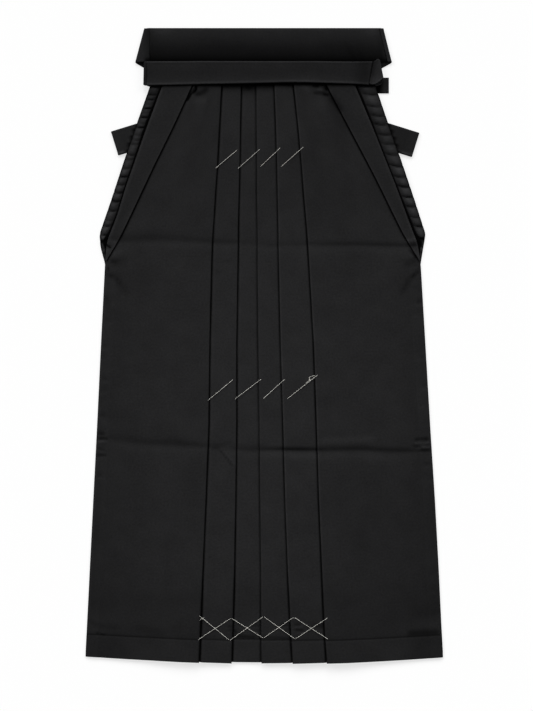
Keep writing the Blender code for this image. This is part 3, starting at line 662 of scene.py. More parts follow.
def hem_tone(x, row):
    """Painted shade down to the stitched line of the hem, where the cloth dips, and at its ends.
    """
    above = FRONT_LENGTH - HEM_TURN - row
    falling = HEM_SHADE * np.exp(-np.maximum(above, 0) / HEM_SHADE_REACH)
    falling = falling * smooth(above / 1.5 + 0.5)
    layer = HEM_LAYER_SHADE * smooth(0.5 - above / 2)
    tone = 1 - falling - layer - drawn(HEM_LINE_SHADE, above)
    corner = HEM_CORNER_SHADE * smooth((np.abs(x) - 205) / 50)
    return tone * (1 - corner * smooth((row - 858) / 12))


CREASE_SHADE = 0.20         # share of light lost for each mm of a crease's depth
CREASE_LIGHT = Line(0.03, 9, 7)     # and won past its valley


def crease_tone(x, down, stops):
    """Darker on the side of a crease that turns from the light, lighter past its valley."""
    line, depth, above, _ = crease_at(x, stops)
    offset = down - line
    shade = CREASE_SHADE * depth * bell(offset + 1.2, 0.6 * above)
    return 1 - shade + depth * drawn(CREASE_LIGHT, offset)


SIDE_SHADE = 0.18           # share of light lost at a side seam, falling over its reach
SIDE_SHADE_REACH = 42
SIDE_BAND_SHADE = 0.03      # and over its allowance
SIDE_SHADE_BELOW = 0.55     # this much more of both low down


def side_shade(x, row):
    """How much darker the cloth is along its side seams, most over the seam allowance."""
    shade = 0.0
    for side in INWARDS:
        inside = from_side(x, row, side)
        band = SIDE_BAND_SHADE * over_allowance(inside)
        falling = SIDE_SHADE * np.exp(-np.maximum(inside, 0) / SIDE_SHADE_REACH)
        shade = shade + (band + falling) * smooth((inside + 3) / 9)
    shade = shade * (1 + SIDE_SHADE_BELOW * smooth((row - 620) / 60))
    return shade * smooth((row - 272) / 30) * (1 - smooth((row - 818) / 32))


FURROW_TONE = 0.52          # painted shade for each mm of a furrow's depth, and painted light on a ridge
FURROW_DARKEST = 0.05
FURROW_LIGHTEST = 1.3
RIPPLE_TONE = 0.35


def relief_tone(x, down, row):
    """The tone that goes with front_relief: its troughs are in shade."""
    tone = crease_tone(x, down, UPPER_CREASE) * crease_tone(x, down, LOWER_CREASE)
    for mark in FURROWS:
        change = 1 + FURROW_TONE * furrow(x, down, mark)
        tone = tone * np.clip(change, FURROW_DARKEST, FURROW_LIGHTEST)
    for side in INWARDS:
        tone = tone * (1 + RIPPLE_TONE * (side_seam(x, down, row, side) - SEAM_LAYER / 2))
    for shade in SHADES:
        patch = bell(x - shade.x, shade.across) * bell(row - shade.down, shade.along)
        tone = tone * (1 - shade.depth * patch)
    return tone * (1 - side_shade(x, row)) * hem_tone(x, row)


def front_relief(x, down, row):
    """Everything that the front cloths' layers do together, fading out under the band."""
    total = crease(x, down, UPPER_CREASE) + crease(x, down, LOWER_CREASE)
    for mark in FURROWS:
        total = total + furrow(x, down, mark)
    for side in INWARDS:
        total = total + side_seam(x, down, row, side)
    for swell in SWELLS:
        turn = 2 * math.pi * (x / swell.across + down / swell.down) + swell.phase
        total = total + swell.height * np.sin(turn)
    middle = smooth((95 - np.abs(x)) / 25) * bell(down - 185, 26)
    total = total + WAIST_RIPPLE * middle * np.sin(down / 4.1 + 0.02 * x)
    return total * smooth((down + 8) / 8) + hem_form(x, row)


# Contact lines of the front, lines of painted shadow: the fold edge, the side on which it
# lies, the line's darkness and width, and the strength of the painted highlight on the edge
ContactLine = namedtuple("ContactLine", "edge outwards darkness width worn")
CONTACT_LINES = table(
    ContactLine,
    ("a_b", 1, 0.99, 1.10, 0.12), ("b_c", 1, 0.99, 1.00, 0.12),
    ("c_d", -1, 0.72, 0.65, 0.08), ("d_e", -1, 0.90, 0.85, 0.30),
    ("e_f", -1, 0.95, 1.10, 0.35),
)
LINE_PLACE = 0.9            # from the fold edge to the middle of its dark line

BAND_LINE_SHADE = Line(0.93, 0, 2.9)    # right at the front waistband's lower edge
BAND_SHADE = 0.24           # share of light lost below it, falling over its reach
BAND_SHADE_REACH = 12
MIDDLE_LIGHT = 0.06         # share of light won between the outermost fold edges
STRIP_LINE_SHADE = 0.95     # in the dark line beside a strip
SIDE_LINE_SHADE = Line(0.5, 0, 0.9)     # right at the side edge


def below_band(down):
    """Painted shadow beside the front waistband's lower edge: the tone grows back to 1 away from
    it.
    """
    down = np.maximum(down + 1.0, 0)
    falling = 1 - BAND_SHADE * np.exp(-down / BAND_SHADE_REACH)
    return (1 - drawn(BAND_LINE_SHADE, down)) * falling


def strip_line(row, side):
    """The inner edge of a strip, and below the opening the edge of the seam allowance."""
    edge = front_at(row, side + "_side")
    below = smooth((row - STRIP_END) / 120)
    width = (at(STRIPS, "down", row, side + "_inner") - edge) * INWARDS[side]
    width = np.where(row < STRIP_END, width, mix(STRIP_TIP, SEAM_BAND, below))
    return edge + INWARDS[side] * width


def contact_tone(x, row):
    """Painted shadow lines beside the fold edges, wider towards the hem, and painted highlights
    on the edges.
    """
    tone = 1.0
    hem_width = 1 + 0.7 * smooth((row - 750) / 60) + 0.3 * smooth((row - 866) / 6)
    for count, line in enumerate(CONTACT_LINES):
        aside = (x - front_at(row, line.edge)) * line.outwards
        slow = 0.14 * np.sin(row / 41 + 2.1 * count)
        quick = 0.09 * np.sin(row / 13 + 3.3 * count)
        width = line.width * (1 + slow + quick) * hem_width
        tone = tone * (1 - line.darkness * bell(aside - LINE_PLACE, width))
        # a painted highlight along each fold edge
        painted_rim_light = bell(aside + 1.2, 1.1) if line.outwards < 0 else bell(aside - 4.2, 1.6)
        tone = tone * (1 + line.worn * painted_rim_light)
    return tone


def front_tone(x, row):
    """Painted shadow lines beside the fold edges and the strips, over a middle with painted
    light.
    """
    middle = smooth((front_at(row, "e_f") - x) / 4) * smooth((x - front_at(row, "a_b")) / 4)
    tone = below_band(row) * (1 + MIDDLE_LIGHT * middle) * contact_tone(x, row)
    for side in INWARDS:
        aside = (x - strip_line(row, side)) * INWARDS[side]
        beside = smooth((STRIP_END + 4 - row) / 8) * (aside > -3)
        width = 1.9 - 0.8 * smooth((row - 232) / 30)
        tone = tone * (1 - STRIP_LINE_SHADE * beside * bell(aside - 1.0, width))
        tone = tone * (1 - drawn(SIDE_LINE_SHADE, from_side(x, row, side)))
    return tone


# ---- Front cloths

EDGE_REACH = 5.0            # the front comes down onto the back over this width at a side
EDGE_DROP = 1.4
GROOVE_DEPTH = 1.1          # a strip dips where the next fold edge presses on it
GROOVE_WIDTH = 1.5
GROOVE_PLACE = 1.2          # from the fold edge to the groove's lowest line
GROOVE_REACH = 5.0          # columns are close together over this width


def front_base(down):
    return bed_height(down) + FRONT_LIFT + CLOTH / 2


def edge_drop(x, edge, inwards):
    return EDGE_DROP * smooth(1 - (x - edge) * inwards / EDGE_REACH)


def groove(x, edge, outwards):
    """How far the layers under a fold edge dip just outside it."""
    return GROOVE_DEPTH * bell(x - edge - outwards * GROOVE_PLACE, GROOVE_WIDTH)


def right_front_height(downs):
    """The right wide panel comes down from the pleats to the side seam."""
    downs = np.asarray(downs, dtype=float)[:, None]
    a_b, b_c, c_d = (front_at(downs, column) for column in ("a_b", "b_c", "c_d"))
    hidden = a_b - PLEAT_DEPTH
    side = front_at(downs, "right_side")
    base = front_base(downs)

    def height(level, x):
        fall = 0.0
        drop = 0.0
        if level == RIGHT_TOP_LEVEL:
            fall = settle((hidden - 2 - x) / (hidden - 2 - side))
            drop = edge_drop(x, side, 1)
        if level < RIGHT_TOP_LEVEL - 1:
            drop = drop + groove(x, a_b, 1)
        if level < RIGHT_TOP_LEVEL - 3:
            drop = drop + groove(x, b_c, 1) + groove(x, c_d, -1)
        return base + (level - (level - 1) * fall) * PITCH - drop

    return height


def left_front_height(downs):
    """The left pleats sag a little outwards, and the wide panel comes down to its side."""
    downs = np.asarray(downs, dtype=float)[:, None]
    d_e = front_at(downs, "d_e")
    e_f = front_at(downs, "e_f")
    hidden = e_f + PLEAT_DEPTH
    side = front_at(downs, "left_side")
    base = front_base(downs)
    top = base + LEFT_TOP_LEVEL * PITCH - PLEAT_SAG
    bottom = base + PITCH

    def height(level, x):
        sag = PLEAT_SAG * smooth((x - d_e) / (e_f - d_e))
        fall = 0.0
        drop = 0.0
        if level == LEFT_TOP_LEVEL:
            fall = settle((x - hidden - 2) / (side - hidden - 2))
            drop = edge_drop(x, side, -1)
        if level < LEFT_TOP_LEVEL - 1:
            drop = drop + groove(x, e_f, -1)
        if level < LEFT_TOP_LEVEL - 3:
            drop = drop + groove(x, d_e, -1)
        return base + level * PITCH - sag - fall * (top - bottom) - drop

    return height


def build_front_cloths(material):
    """Both cloths in their folds: the right one's edges face left, and the left one's right."""
    downs = row_places(TOP_DOWN, FRONT_LENGTH, FINE_ZONES, COARSE_ROW)
    a_b, b_c, c_d, d_e, e_f = (front_at(downs, column) for column in FrontRow._fields[2:7])
    seam = c_d + INNER_REACH - SEAM_GAP / 2
    near = GROOVE_REACH

    hidden = a_b - PLEAT_DEPTH
    right = Section(right_front_height(downs), RIGHT_TOP_LEVEL, front_at(downs, "right_side"))
    line = strip_line(downs, "right")
    right.mark().run(line - 1.5, 16).run(line + near, 9).run((line + a_b) / 2, 22).mark()
    right.run(a_b - near, 22)
    right.fold(a_b, 4, 4).fold(hidden, 3, 6)
    right.run(a_b - 1, 5).run(a_b + near, 10).run(b_c - near, 10).fold(b_c, 2, 4)
    right.run(a_b + near, 6).run(a_b - 1, 8).fold(hidden, 1, 5)
    right.run(a_b - 1, 5).run(a_b + near, 8).run(b_c - 1, 6).run(b_c + near, 10)
    right.run(c_d - near, 10).run(c_d + 1, 8).run(seam, 2).mark()
    right_cloth = section_shell("right", downs, right, material)

    hidden = e_f + PLEAT_DEPTH
    left = Section(left_front_height(downs), 2, seam + SEAM_GAP, face=-1)
    left.mark().fold(c_d, 3, 3).run(c_d + near, 4).run(d_e - near, 10).run(d_e + 1, 10)
    left.run(e_f - near, 10).run(e_f + 1, 8).fold(hidden, 4, 5)
    left.run(e_f + 1, 5).run(e_f - near, 8).fold(d_e, 5, 10)
    left.run(d_e + near, 4).run(e_f - near, 10).run(e_f + 1, 10).fold(hidden, 6, 5)
    line = strip_line(downs, "left")
    left.fold(e_f, LEFT_TOP_LEVEL, 5).run(e_f + near, 4).run(line - near, 44)
    left.run(line + 1.5, 9).run(front_at(downs, "left_side"), 16).mark()
    return right_cloth, section_shell("left", downs, left, material)


# ---- Back cloths

GATHER_HEIGHT = 3.2
GATHER_LOWEST = {"right": 0.5, "left": 0.3}     # a trough hangs lowest at this share
GATHER_RISE = 2.6           # and half the margin away it is this much higher
GATHER_SCALLOP = 0.6        # a trough draws the free edge in by this much
GATHER_SWAY = 0.8           # the troughs wander up and down by this much
GATHER_PUFF = 0.90          # share of the height that rises and falls with the wave
UNDER_SWELL = 0.35          # the underside follows by this share
FREE_EDGE = 0.2             # the free edge has this share of the thickness
TROUGH_WIDTH = 1.7
TROUGH_SHADE = 0.86         # share of light lost in the short dark line of a trough
HANG_SHADE = 0.50           # in the broad low part round it
HOLLOW_SHADE = 0.97         # and in the hollow beside the strip
EDGE_SHADE = Line(0.95, 0.4, 1.3)   # at the free edge
CREST_LIGHT = 1.05          # share of light won on a crest
DARKEST = 0.03              # the darkest tone of all
TROUGH_LAG = 1.4            # a trough looks darkest this far above its lowest line
NARROWEST = 5.0             # below the opening the same columns keep at least this width
GATHER_SHARES = np.array((0, 0.015, 0.045, 0.09, 0.15, 0.22, 0.3, 0.38, 0.46, 0.54, 0.62,
                          0.7, 0.77, 0.83, 0.88, 0.93, 1.0, 1.1, 1.3, 1.6))


def trough_mark(down, across, troughs):
    """Painted shade: short dark lines in the troughs, uneven in length, place and strength."""
    mark = 0 * down * across
    for count, trough in enumerate(troughs):
        middle = 0.44 + 0.22 * uneven(count, 0.618)
        reach = 0.34 + 0.22 * uneven(count + 2, 0.414)
        slant = 1.6 * (uneven(count, 0.273) - 0.5) * (across - middle)
        width = TROUGH_WIDTH * (0.7 + 0.4 * trough.depth)
        line = trough.depth * bell(down - trough.down + slant, width)
        mark = np.maximum(mark, line * bell(across - middle, reach * (0.6 + 0.5 * trough.depth)))
    return np.minimum(mark, 1.2)


def gather_wave(down, troughs):
    """0 in a deep trough of the gathers and up to 1 on the crests, some fuller than others."""
    stops = np.array((0, *(trough.down for trough in troughs), OPENING_END), dtype=float)
    depths = np.array((0.8, *(min(trough.depth, 1) for trough in troughs), 0.5))
    place = np.clip(np.searchsorted(stops, down) - 1, 0, len(stops) - 2)
    share = (down - stops[place]) / (stops[place + 1] - stops[place])
    crest = np.abs(np.sin(math.pi * np.clip(share, 0, 1) ** 0.8)) ** 0.5
    fullness = 0.80 + 0.20 * uneven(place, 0.618)
    return fullness * (1 - (1 - crest) * np.interp(down, stops, depths))


def back_edge(downs, side):
    """x of a back cloth's gathered free edge, and below the opening of its side seam."""
    free = at(BACK, "down", downs, side + "_edge", GATHER_ROUNDING)
    edge = np.where(downs <= OPENING_END, free, front_at(downs, side + "_side"))
    gathered = (downs > 0) & (downs < OPENING_END - 35)
    pull = GATHER_SCALLOP * (1 - gather_wave(downs, GATHERS[side])) ** 2
    return edge + INWARDS[side] * np.where(gathered, pull, 0)


def back_columns(downs, edge, width, side, ending):
    """A back cloth's columns from its side inwards, and each one's level and face."""
    starts = edge[:, None] + INWARDS[side] * GATHER_SHARES * width
    x_stop, levels, faces = ending(front_at(downs, "c_d"))
    flat = starts[:, -1:] + (x_stop[:, :1] - starts[:, -1:]) * np.linspace(0, 1, 30)[1:]
    x = np.concatenate((starts, flat, x_stop[:, 1:]), axis=1)
    plain = starts.shape[1] + flat.shape[1]
    level = np.concatenate((np.zeros(plain), levels[1:]))
    return x, level, np.concatenate((np.ones(plain), faces[1:]))


# Where the points of a back cloth lie in its gathers
Gathers = namedtuple("Gathers", "side inside across width along wave free")


def gather_places(downs, side, inside, width):
    """inside is the distance from the free edge, and width that of the open gathers."""
    across = np.clip(inside / width, 0, 1.4)
    sway = GATHER_SWAY * np.sin(downs / 17) * (across.T - 0.5)
    hang = ((np.clip(across, 0, 1) - GATHER_LOWEST[side]) / 0.5) ** 2
    along = downs[:, None] - TROUGH_LAG + GATHER_RISE * hang + sway.T
    free = smooth(downs / 6)[:, None] * smooth((OPENING_END - 4 - downs) / 14)[:, None]
    return Gathers(side, inside, across, width, along, gather_wave(along, GATHERS[side]), free)


def gather_swell(here):
    """How high the gathers puff up, evenly at the free edge."""
    puff = np.sin(math.pi * np.clip(here.across * 0.80 + 0.20, 0, 1)) ** 1.1
    puff = puff * smooth(here.inside / 1.2)
    wave = here.wave + (0.6 - here.wave) * bell(here.inside, 2.0)
    return GATHER_HEIGHT * puff * (1 - GATHER_PUFF + GATHER_PUFF * wave) * here.free


def gather_tone(here, downs):
    """Painted light on the crests, painted shade in the troughs and in the hollow beside the
    strip.
    """
    light = at(MARGIN, "down", downs, here.side + "_light", 4)[:, None]
    lowest = bell(here.across - GATHER_LOWEST[here.side], 0.55)
    trough = HANG_SHADE * lowest * (1 - here.wave) ** 1.6
    trough = trough + TROUGH_SHADE * trough_mark(here.along, here.across, GATHERS[here.side])
    trough = trough + drawn(EDGE_SHADE, here.inside)
    crest = here.wave ** 2 * (CREST_LIGHT * bell(here.across - 0.42, 0.30) - 0.22)
    hollow_width = at(MARGIN, "down", downs, here.side + "_hollow", 3)[:, None]
    hollow = smooth((here.inside - here.width + hollow_width) / 2)
    tone = (1 - here.free * (trough - crest)) * (1 + here.free * (light - 1))
    hollow = hollow * smooth((OPENING_END - 8 - downs) / 14)[:, None]
    tone = np.maximum(tone * (1 - HOLLOW_SHADE * hollow), DARKEST) * below_band(downs)[:, None]
    return np.where(here.across > 1.3, 1.0, tone)


def back_cloth(side, ending, material):
    """A back cloth from its side inwards: puffed gathers, a flat run, then its ending."""
    downs = row_places(TOP_DOWN, FRONT_LENGTH, BACK_FINE_ZONES, BACK_ROW)
    edge = back_edge(downs, side)
    width = (front_at(downs, side + "_side") - edge)[:, None] * INWARDS[side]
    width = np.maximum(width, NARROWEST)
    x, level, face = back_columns(downs, edge, width, side, ending)
    inside = (x - edge[:, None]) * INWARDS[side]
    gathers = gather_places(downs, side, inside, width)
    z = bed_height(downs)[:, None] + CLOTH / 2 + level * PITCH
    swell = np.where(face > 0, gather_swell(gathers) * (level == 0), 0)
    down = hung(downs[:, None] + 0 * x, x, -BACK_HEM_RISE)
    half = CLOTH / 2 * mix(FREE_EDGE, 1, smooth(inside))
    upper = to_metres(x, down, z + half * face + swell)
    lower = to_metres(x, down, z - half * face + UNDER_SWELL * swell)
    tone = gather_tone(gathers, downs)
    return shell(f"back_cloth_{side}_leg", upper, lower, material, tone)


def right_back_ending(inner):
    """Turned up for the back pleat, and back to the inner leg seam."""
    turn = inner + INNER_REACH + BACK_PLEAT
    shares = np.linspace(0, 1, FOLD_STEPS + 1)
    radius = PITCH / 2
    centre = turn - radius - CLOTH / 2
    arc = centre[:, None] + radius * np.sin(math.pi * shares)
    end = (turn - BACK_PLEAT + SEAM_GAP / 2)[:, None]
    x = np.concatenate((arc, end), axis=1)
    levels = np.concatenate(((1 - np.cos(math.pi * shares)) / 2, [1.0]))
    faces = np.concatenate((np.cos(math.pi * shares), [-1.0]))
    return x, levels, faces


def left_back_ending(inner):
    """Up over the right cloth's turned edge, to the inner leg seam."""
    seam = inner + INNER_REACH + SEAM_GAP / 2
    foot = seam + BACK_PLEAT + 2 + BACK_STEP
    shares = np.linspace(0, 1, 6)
    climb = foot[:, None] - BACK_STEP * shares
    x = np.concatenate((climb, seam[:, None]), axis=1)
    levels = np.concatenate((2 * smooth(shares), [2.0]))
    return x, levels, np.ones(len(levels))


# ---- Strips beside the side openings

STRIP_THICKNESS = 1.1
STRIP_LIFT = 0.5            # the inner edge stands up a little
STRIP_GAP = 0.45            # from the panel's layer to the strip's underside
STRIP_COLUMNS = 22
STRIP_TONE = 0.94
OUTER_EDGE_HIGHLIGHT = Line(0.22, 1.6, 1.4)   # painted highlights on its two edges
INNER_EDGE_HIGHLIGHT = Line(0.32, 1.1, 1.0)


def rounded(distance, radius):
    """Share of the full thickness this far in from a folded edge: a quarter round, then 1."""
    distance = np.clip(distance / radius, 0, 1)
    return np.sqrt(np.clip(1 - (1 - distance) ** 2, 0, 1)) * 0.97 + 0.03


def build_strip(side, height_at, top_level, material):
    """A strip lies on the wide panel, from under the waistband to the opening's end."""
    downs = row_places(STRIPS[0].down, STRIP_END, STRIP_FINE_ZONES, STRIP_ROW)
    outer = front_at(downs, side + "_side")[:, None]
    inner = at(STRIPS, "down", downs, side + "_inner")[:, None]
    shares = (1 - np.cos(math.pi * np.linspace(0, 1, STRIP_COLUMNS))) / 2
    x = mix(outer, inner, shares)
    from_outer = np.abs(inner - outer) * shares
    from_inner = np.abs(inner - outer) * (1 - shares)
    row = downs[:, None] + 0 * x
    panel = laid(height_at(downs)(top_level, x), front_relief(x, row, row), row)
    ends = rounded(from_outer, 1.2) * rounded(from_inner, 1.2)
    half = STRIP_THICKNESS / 2 * ends
    lift = STRIP_LIFT * smooth(1 - from_inner / 9)
    middle = panel + PITCH / 2 + STRIP_GAP + STRIP_THICKNESS / 2 + lift
    down = downs[:, None]
    # painted highlights along the strip's two edges
    worn = drawn(OUTER_EDGE_HIGHLIGHT, from_outer) + drawn(INNER_EDGE_HIGHLIGHT, from_inner)
    tone = below_band(down) * (STRIP_TONE + worn) * relief_tone(x, row, row)
    return shell("side_strip_" + side, to_metres(x, down, middle + half),
                 to_metres(x, down, middle - half), material, tone)


# ---- Waistbands

RIM = Line(0.35, 1.6, 1.6)  # a sewn edge stands over the middle of a band
STRIP_GAPS = 0.95           # under and over a strip, together
BAND_THICKNESS = 1.7
BAND_MIDDLE = 0.95          # height of the front band's middle over its underside
BAND_END = 14.0             # its columns are closer together this near its ends
BAND_SLACK = 0.25           # height of its slow waves
BAND_HOLLOW = 0.7           # it sinks this much between its sewn edges
PLEAT_DENT = 0.6            # and the pleats' outermost fold edges press into it


def band_profile():
    """x and underside of the front waistband, resting on strips, panels and pleats."""
    right = right_front_height([0.0])
    left = left_front_height([0.0])

    def on(height, level, x):
        return float(height(level, np.array([[x]]))[0, 0])

    a_b = float(front_at(0, "a_b"))
    e_f = float(front_at(0, "e_f"))
    right_side = float(front_at(0, "right_side"))
    left_side = float(front_at(0, "left_side"))
    right_strip = STRIPS[0].right_inner + 4
    left_strip = STRIPS[0].left_inner - 4
    on_strip = CLOTH / 2 + STRIP_THICKNESS + STRIP_GAPS
    end_height = float(front_base(0)) + PITCH + 0.4
    profile = [
        (BAND_RIGHT_END, end_height),
        (right_side - 12, end_height + 0.6),
        (right_side - 2, on(right, 4, right_side) - 3 * PITCH + on_strip),
    ]
    for share in (0.25, 0.5, 0.8, 1.0):
        x = mix(right_side, right_strip, share)
        profile.append((x, on(right, RIGHT_TOP_LEVEL, x) + on_strip))
    profile.append((a_b, on(right, RIGHT_TOP_LEVEL, a_b) + on_strip - PLEAT_DENT))
    profile.append((e_f, on(left, LEFT_TOP_LEVEL, e_f) + on_strip - PLEAT_DENT))
    for share in (0.0, 0.2, 0.5, 0.75):
        x = mix(left_strip, left_side, share)
        profile.append((x, on(left, LEFT_TOP_LEVEL, x) + on_strip))
    profile.append((left_side + 2, on(left, 1, left_side) + on_strip))
    profile.append((left_side + 12, end_height + 0.6))
    profile.append((BAND_LEFT_END, end_height))
    return profile


BAND_SHARES = np.array((0, 0.006, 0.02, 0.04, 0.06, 0.085, 0.11, 0.15, 0.22, 0.32, 0.42, 0.5,
                        0.58, 0.68, 0.78, 0.85, 0.89, 0.915, 0.94, 0.96, 0.98, 0.994, 1))


BAND_TONE = 0.98
BAND_ROUND_LIGHT = 0.08     # share of light won towards its edges and lost in its middle
BAND_UPPER_LIGHT = Line(0.55, 1.6, 1.1)
BAND_LOWER_LIGHT = Line(0.45, 2.4, 1.8)
BAND_RIGHT_SHADE = Line(0.10, 2.2, 1.5)
BAND_LEFT_SHADE = Line(0.38, 11, 14)
BAND_LEFT_DARK = 0.04       # the tone left right beside the left strap's fold


def front_band_tone(from_top, from_bottom, from_right, from_left):
    """Painted light along both sewn edges, and painted shade at the two ends."""
    tone = BAND_TONE + BAND_ROUND_LIGHT * np.cos(2 * math.pi * BAND_SHARES)
    tone = tone + drawn(BAND_UPPER_LIGHT, from_top) + drawn(BAND_LOWER_LIGHT, from_bottom)
    tone = tone * (1 - drawn(BAND_RIGHT_SHADE, from_right))
    tone = tone * mix(BAND_LEFT_DARK, 1, smooth((from_left - 1.6) / 2.6))
    return tone * (1 - drawn(BAND_LEFT_SHADE, from_left) * smooth((from_left - 3) / 4))


def build_front_band(material):
    """A sewn strip whose two ends pass under the folds of its straps."""
    right = BAND_RIGHT_END + BAND_END
    left = BAND_LEFT_END - BAND_END
    x = np.concatenate((np.linspace(BAND_RIGHT_END, right, 16),
                        np.linspace(right, left, 160)[1:-1],
                        np.linspace(left, BAND_LEFT_END, 16)))
    underside = eased(x, *zip(*band_profile()), 10, 9)
    top = at(FRONT_BAND, "x", x, "top", BAND_ROUNDING)[:, None]
    width = at(FRONT_BAND, "x", x, "bottom", BAND_ROUNDING)[:, None] - top
    down = top + width * BAND_SHARES
    from_top = BAND_SHARES * width
    from_bottom = (1 - BAND_SHARES) * width
    round_off = rounded(from_top, 1.1) * rounded(from_bottom, 1.1)
    arch = np.sin(math.pi * BAND_SHARES)
    slack = BAND_SLACK * np.sin(x / 23 + 1)[:, None] * arch ** 2
    from_right = (x - BAND_RIGHT_END)[:, None]
    from_left = (BAND_LEFT_END - x)[:, None]
    dip = 0.9 * smooth((6.5 - from_right) / 5) + 1.2 * smooth((5.5 - from_left) / 4)
    half = BAND_THICKNESS / 2 * round_off
    middle = underside[:, None] + BAND_MIDDLE
    lift = drawn(RIM, from_top) + drawn(RIM, from_bottom) + slack - BAND_HOLLOW * arch - dip
    x = x[:, None] + mix(*BAND_LEFT_SLANT, BAND_SHARES) * smooth(1 - from_left / BAND_END)
    upper = to_metres(x, down, middle + half + lift * round_off)
    turn_height = np.interp(x, (BAND_RIGHT_END, right), (BAND_TURN_END, BAND_TURN_HEIGHT))
    turned = (down < TOP_DOWN - 0.5) & (BAND_SHARES < 0.5)
    lower = to_metres(x, down, np.where(turned, turn_height, middle - half))
    return shell("front_waistband", upper, lower, material,
                 front_band_tone(from_top, from_bottom, from_right, from_left))


SEAM_LAP = 2.4              # a strap laps over the band's end by this much
LIGHT_STRIP = 4.0           # of the left strap shows beside its crease
BACK_BAND_TONE = 0.96       # well clear of the front waistband
BACK_UPPER_LIGHT = Line(0.30, 3.0, 1.4)
BACK_CORNER_LIGHT = Line(0.36, 4, 7)    # along the upper edge, near its two ends
BACK_SEAM_SHADE = 0.30      # share of light lost at the right strap's seam
BACK_SEAM_LIGHT = Line(0.26, 0.6, 1.4)
BACK_LEFT_SHADE = Line(0.28, 3, 6)


def back_band_ends(down):
    """x of the back waistband's two ends, the left one alongside the strap's crease."""
    share = (down + BACK_BAND_TOP) / (BACK_BAND_TOP - BACK_BAND_BOTTOM)
    return -BACK_BAND_SEAM, mix(BACK_BAND_LEFT_TOP, BACK_BAND_LEFT_BOTTOM, share) - LIGHT_STRIP


def band_shadow(from_right, from_left, down):
    """Painted shade of the back waistband, which goes down into the dark under the front one, and
    painted light along its upper edge.
    """
    distance = np.maximum(-BAND_TOP_LINE - down, 0)
    clear = (1 - np.exp(-(distance / 21) ** 1.4)) * smooth(distance / 5)
    near_line = smooth(distance / 9)
    inside = smooth((from_left - 2) / 9)
    tone = mix(DARKEST, BACK_BAND_TONE, clear * inside + near_line * (1 - inside))
    near_top = BACK_BAND_TOP + down
    corners = bell(from_right - 22, 18) + bell(from_left - 8, 16)
    upper_light = drawn(BACK_UPPER_LIGHT, near_top) + corners * drawn(BACK_CORNER_LIGHT, near_top)
    from_seam = from_right - SEAM_LAP
    seam_shade = BACK_SEAM_SHADE * np.exp(-np.maximum(from_seam, 0) / 8)
    tone = tone * (1 + upper_light) * (1 - seam_shade + drawn(BACK_SEAM_LIGHT, from_seam))
    return tone * (1 - drawn(BACK_LEFT_SHADE, from_left))


def with_lap(values, end, start=None):
    """Two more columns of a value, for the lap under the back cloths."""
    start = end if start is None else 0 * end + start
    return np.concatenate((values, start, end), axis=1)


BACK_BAND_THICKNESS = 1.9
BACK_BAND_THINNING = 0.6    # it is pressed this much thinner under the front waistband
BACK_BAND_SINK = 0.8        # and sinks this much towards it
BACK_BAND_CROWN = 1.8       # its soft middle stands up by this much
BACK_BAND_MIDDLE = STRAP_PITCH + 1.35
LAP_THIN = 0.35             # the lap keeps this clear of the back cloths over it

# Slanting dents of the back waistband, from a share of its width downwards
Dent = namedtuple("Dent", "x slant width depth start")
BACK_BAND_DENTS = table(Dent, (118, 26, 6, 0.5, 0.8), (136, 20, 5, 0.4, 0.9))


def build_back_band(material):
    """A wide soft strip that sinks towards the front waistband, its ends under the straps."""
    shares = np.concatenate((np.linspace(0, 0.04, 15), np.linspace(0.046, 0.954, 130),
                             np.linspace(0.96, 1, 15)))[:, None]
    width = BACK_BAND_TOP - BACK_BAND_BOTTOM
    down = -BACK_BAND_TOP + width * BAND_SHARES
    right_end, left_end = back_band_ends(down)
    x = mix(right_end, left_end, shares)
    from_top = BAND_SHARES * width
    round_off = rounded(from_top, 1.3)
    sink = BACK_BAND_SINK * smooth((BAND_SHARES - 0.25) / 0.75)
    swell = 0.2 * np.sin(x / 31.0 + 0.6) * np.sin(math.pi * BAND_SHARES) ** 2
    for dent in BACK_BAND_DENTS:
        place = bell(x - dent.x - dent.slant * BAND_SHARES, dent.width)
        swell = swell - dent.depth * place * smooth(BAND_SHARES * 2 - dent.start)
    crown = BACK_BAND_CROWN * np.sin(math.pi * np.clip(BAND_SHARES * 1.4, 0, 1))
    dip = smooth((6 - x + right_end) / 4) + smooth((5 - left_end + x) / 3)
    thinning = BACK_BAND_THINNING * smooth(BAND_SHARES * 2 - 1)
    half = (BACK_BAND_THICKNESS - thinning) / 2 * round_off
    lift = (drawn(RIM, from_top) + crown + swell) * (1 - dip) - 0.9 * dip * round_off
    middle = BACK_BAND_MIDDLE - sink
    tone = band_shadow(x - right_end, left_end - x, down)
    # painted shade in the band's dents
    tone = tone * (1 + 0.6 * (swell < 0) * swell)
    level = 0 * shares
    x = with_lap(x, mix(LAP_RIGHT, LAP_LEFT, shares))
    down = with_lap(level + down, level + LAP_END, 0.3 - BACK_BAND_BOTTOM)
    top = with_lap(middle + half + lift, level + 2 * STRAP_PITCH - LAP_THIN)
    bottom = with_lap(level + middle - half, level + STRAP_PITCH + 0.1)
    tone = with_lap(tone, level + DARKEST)
    return shell("back_waistband", to_metres(x, down, top), to_metres(x, down, bottom),
                 material, tone)


# ---- Straps

STRAP_EDGE_LIGHT = Line(0.26, 1.3, 1.2)     # along both sewn edges
STRAP_SHARES = np.array((0, 0.01, 0.03, 0.055, 0.085, *np.linspace(0.12, 0.88, 20),
                         0.915, 0.945, 0.97, 0.99, 1))


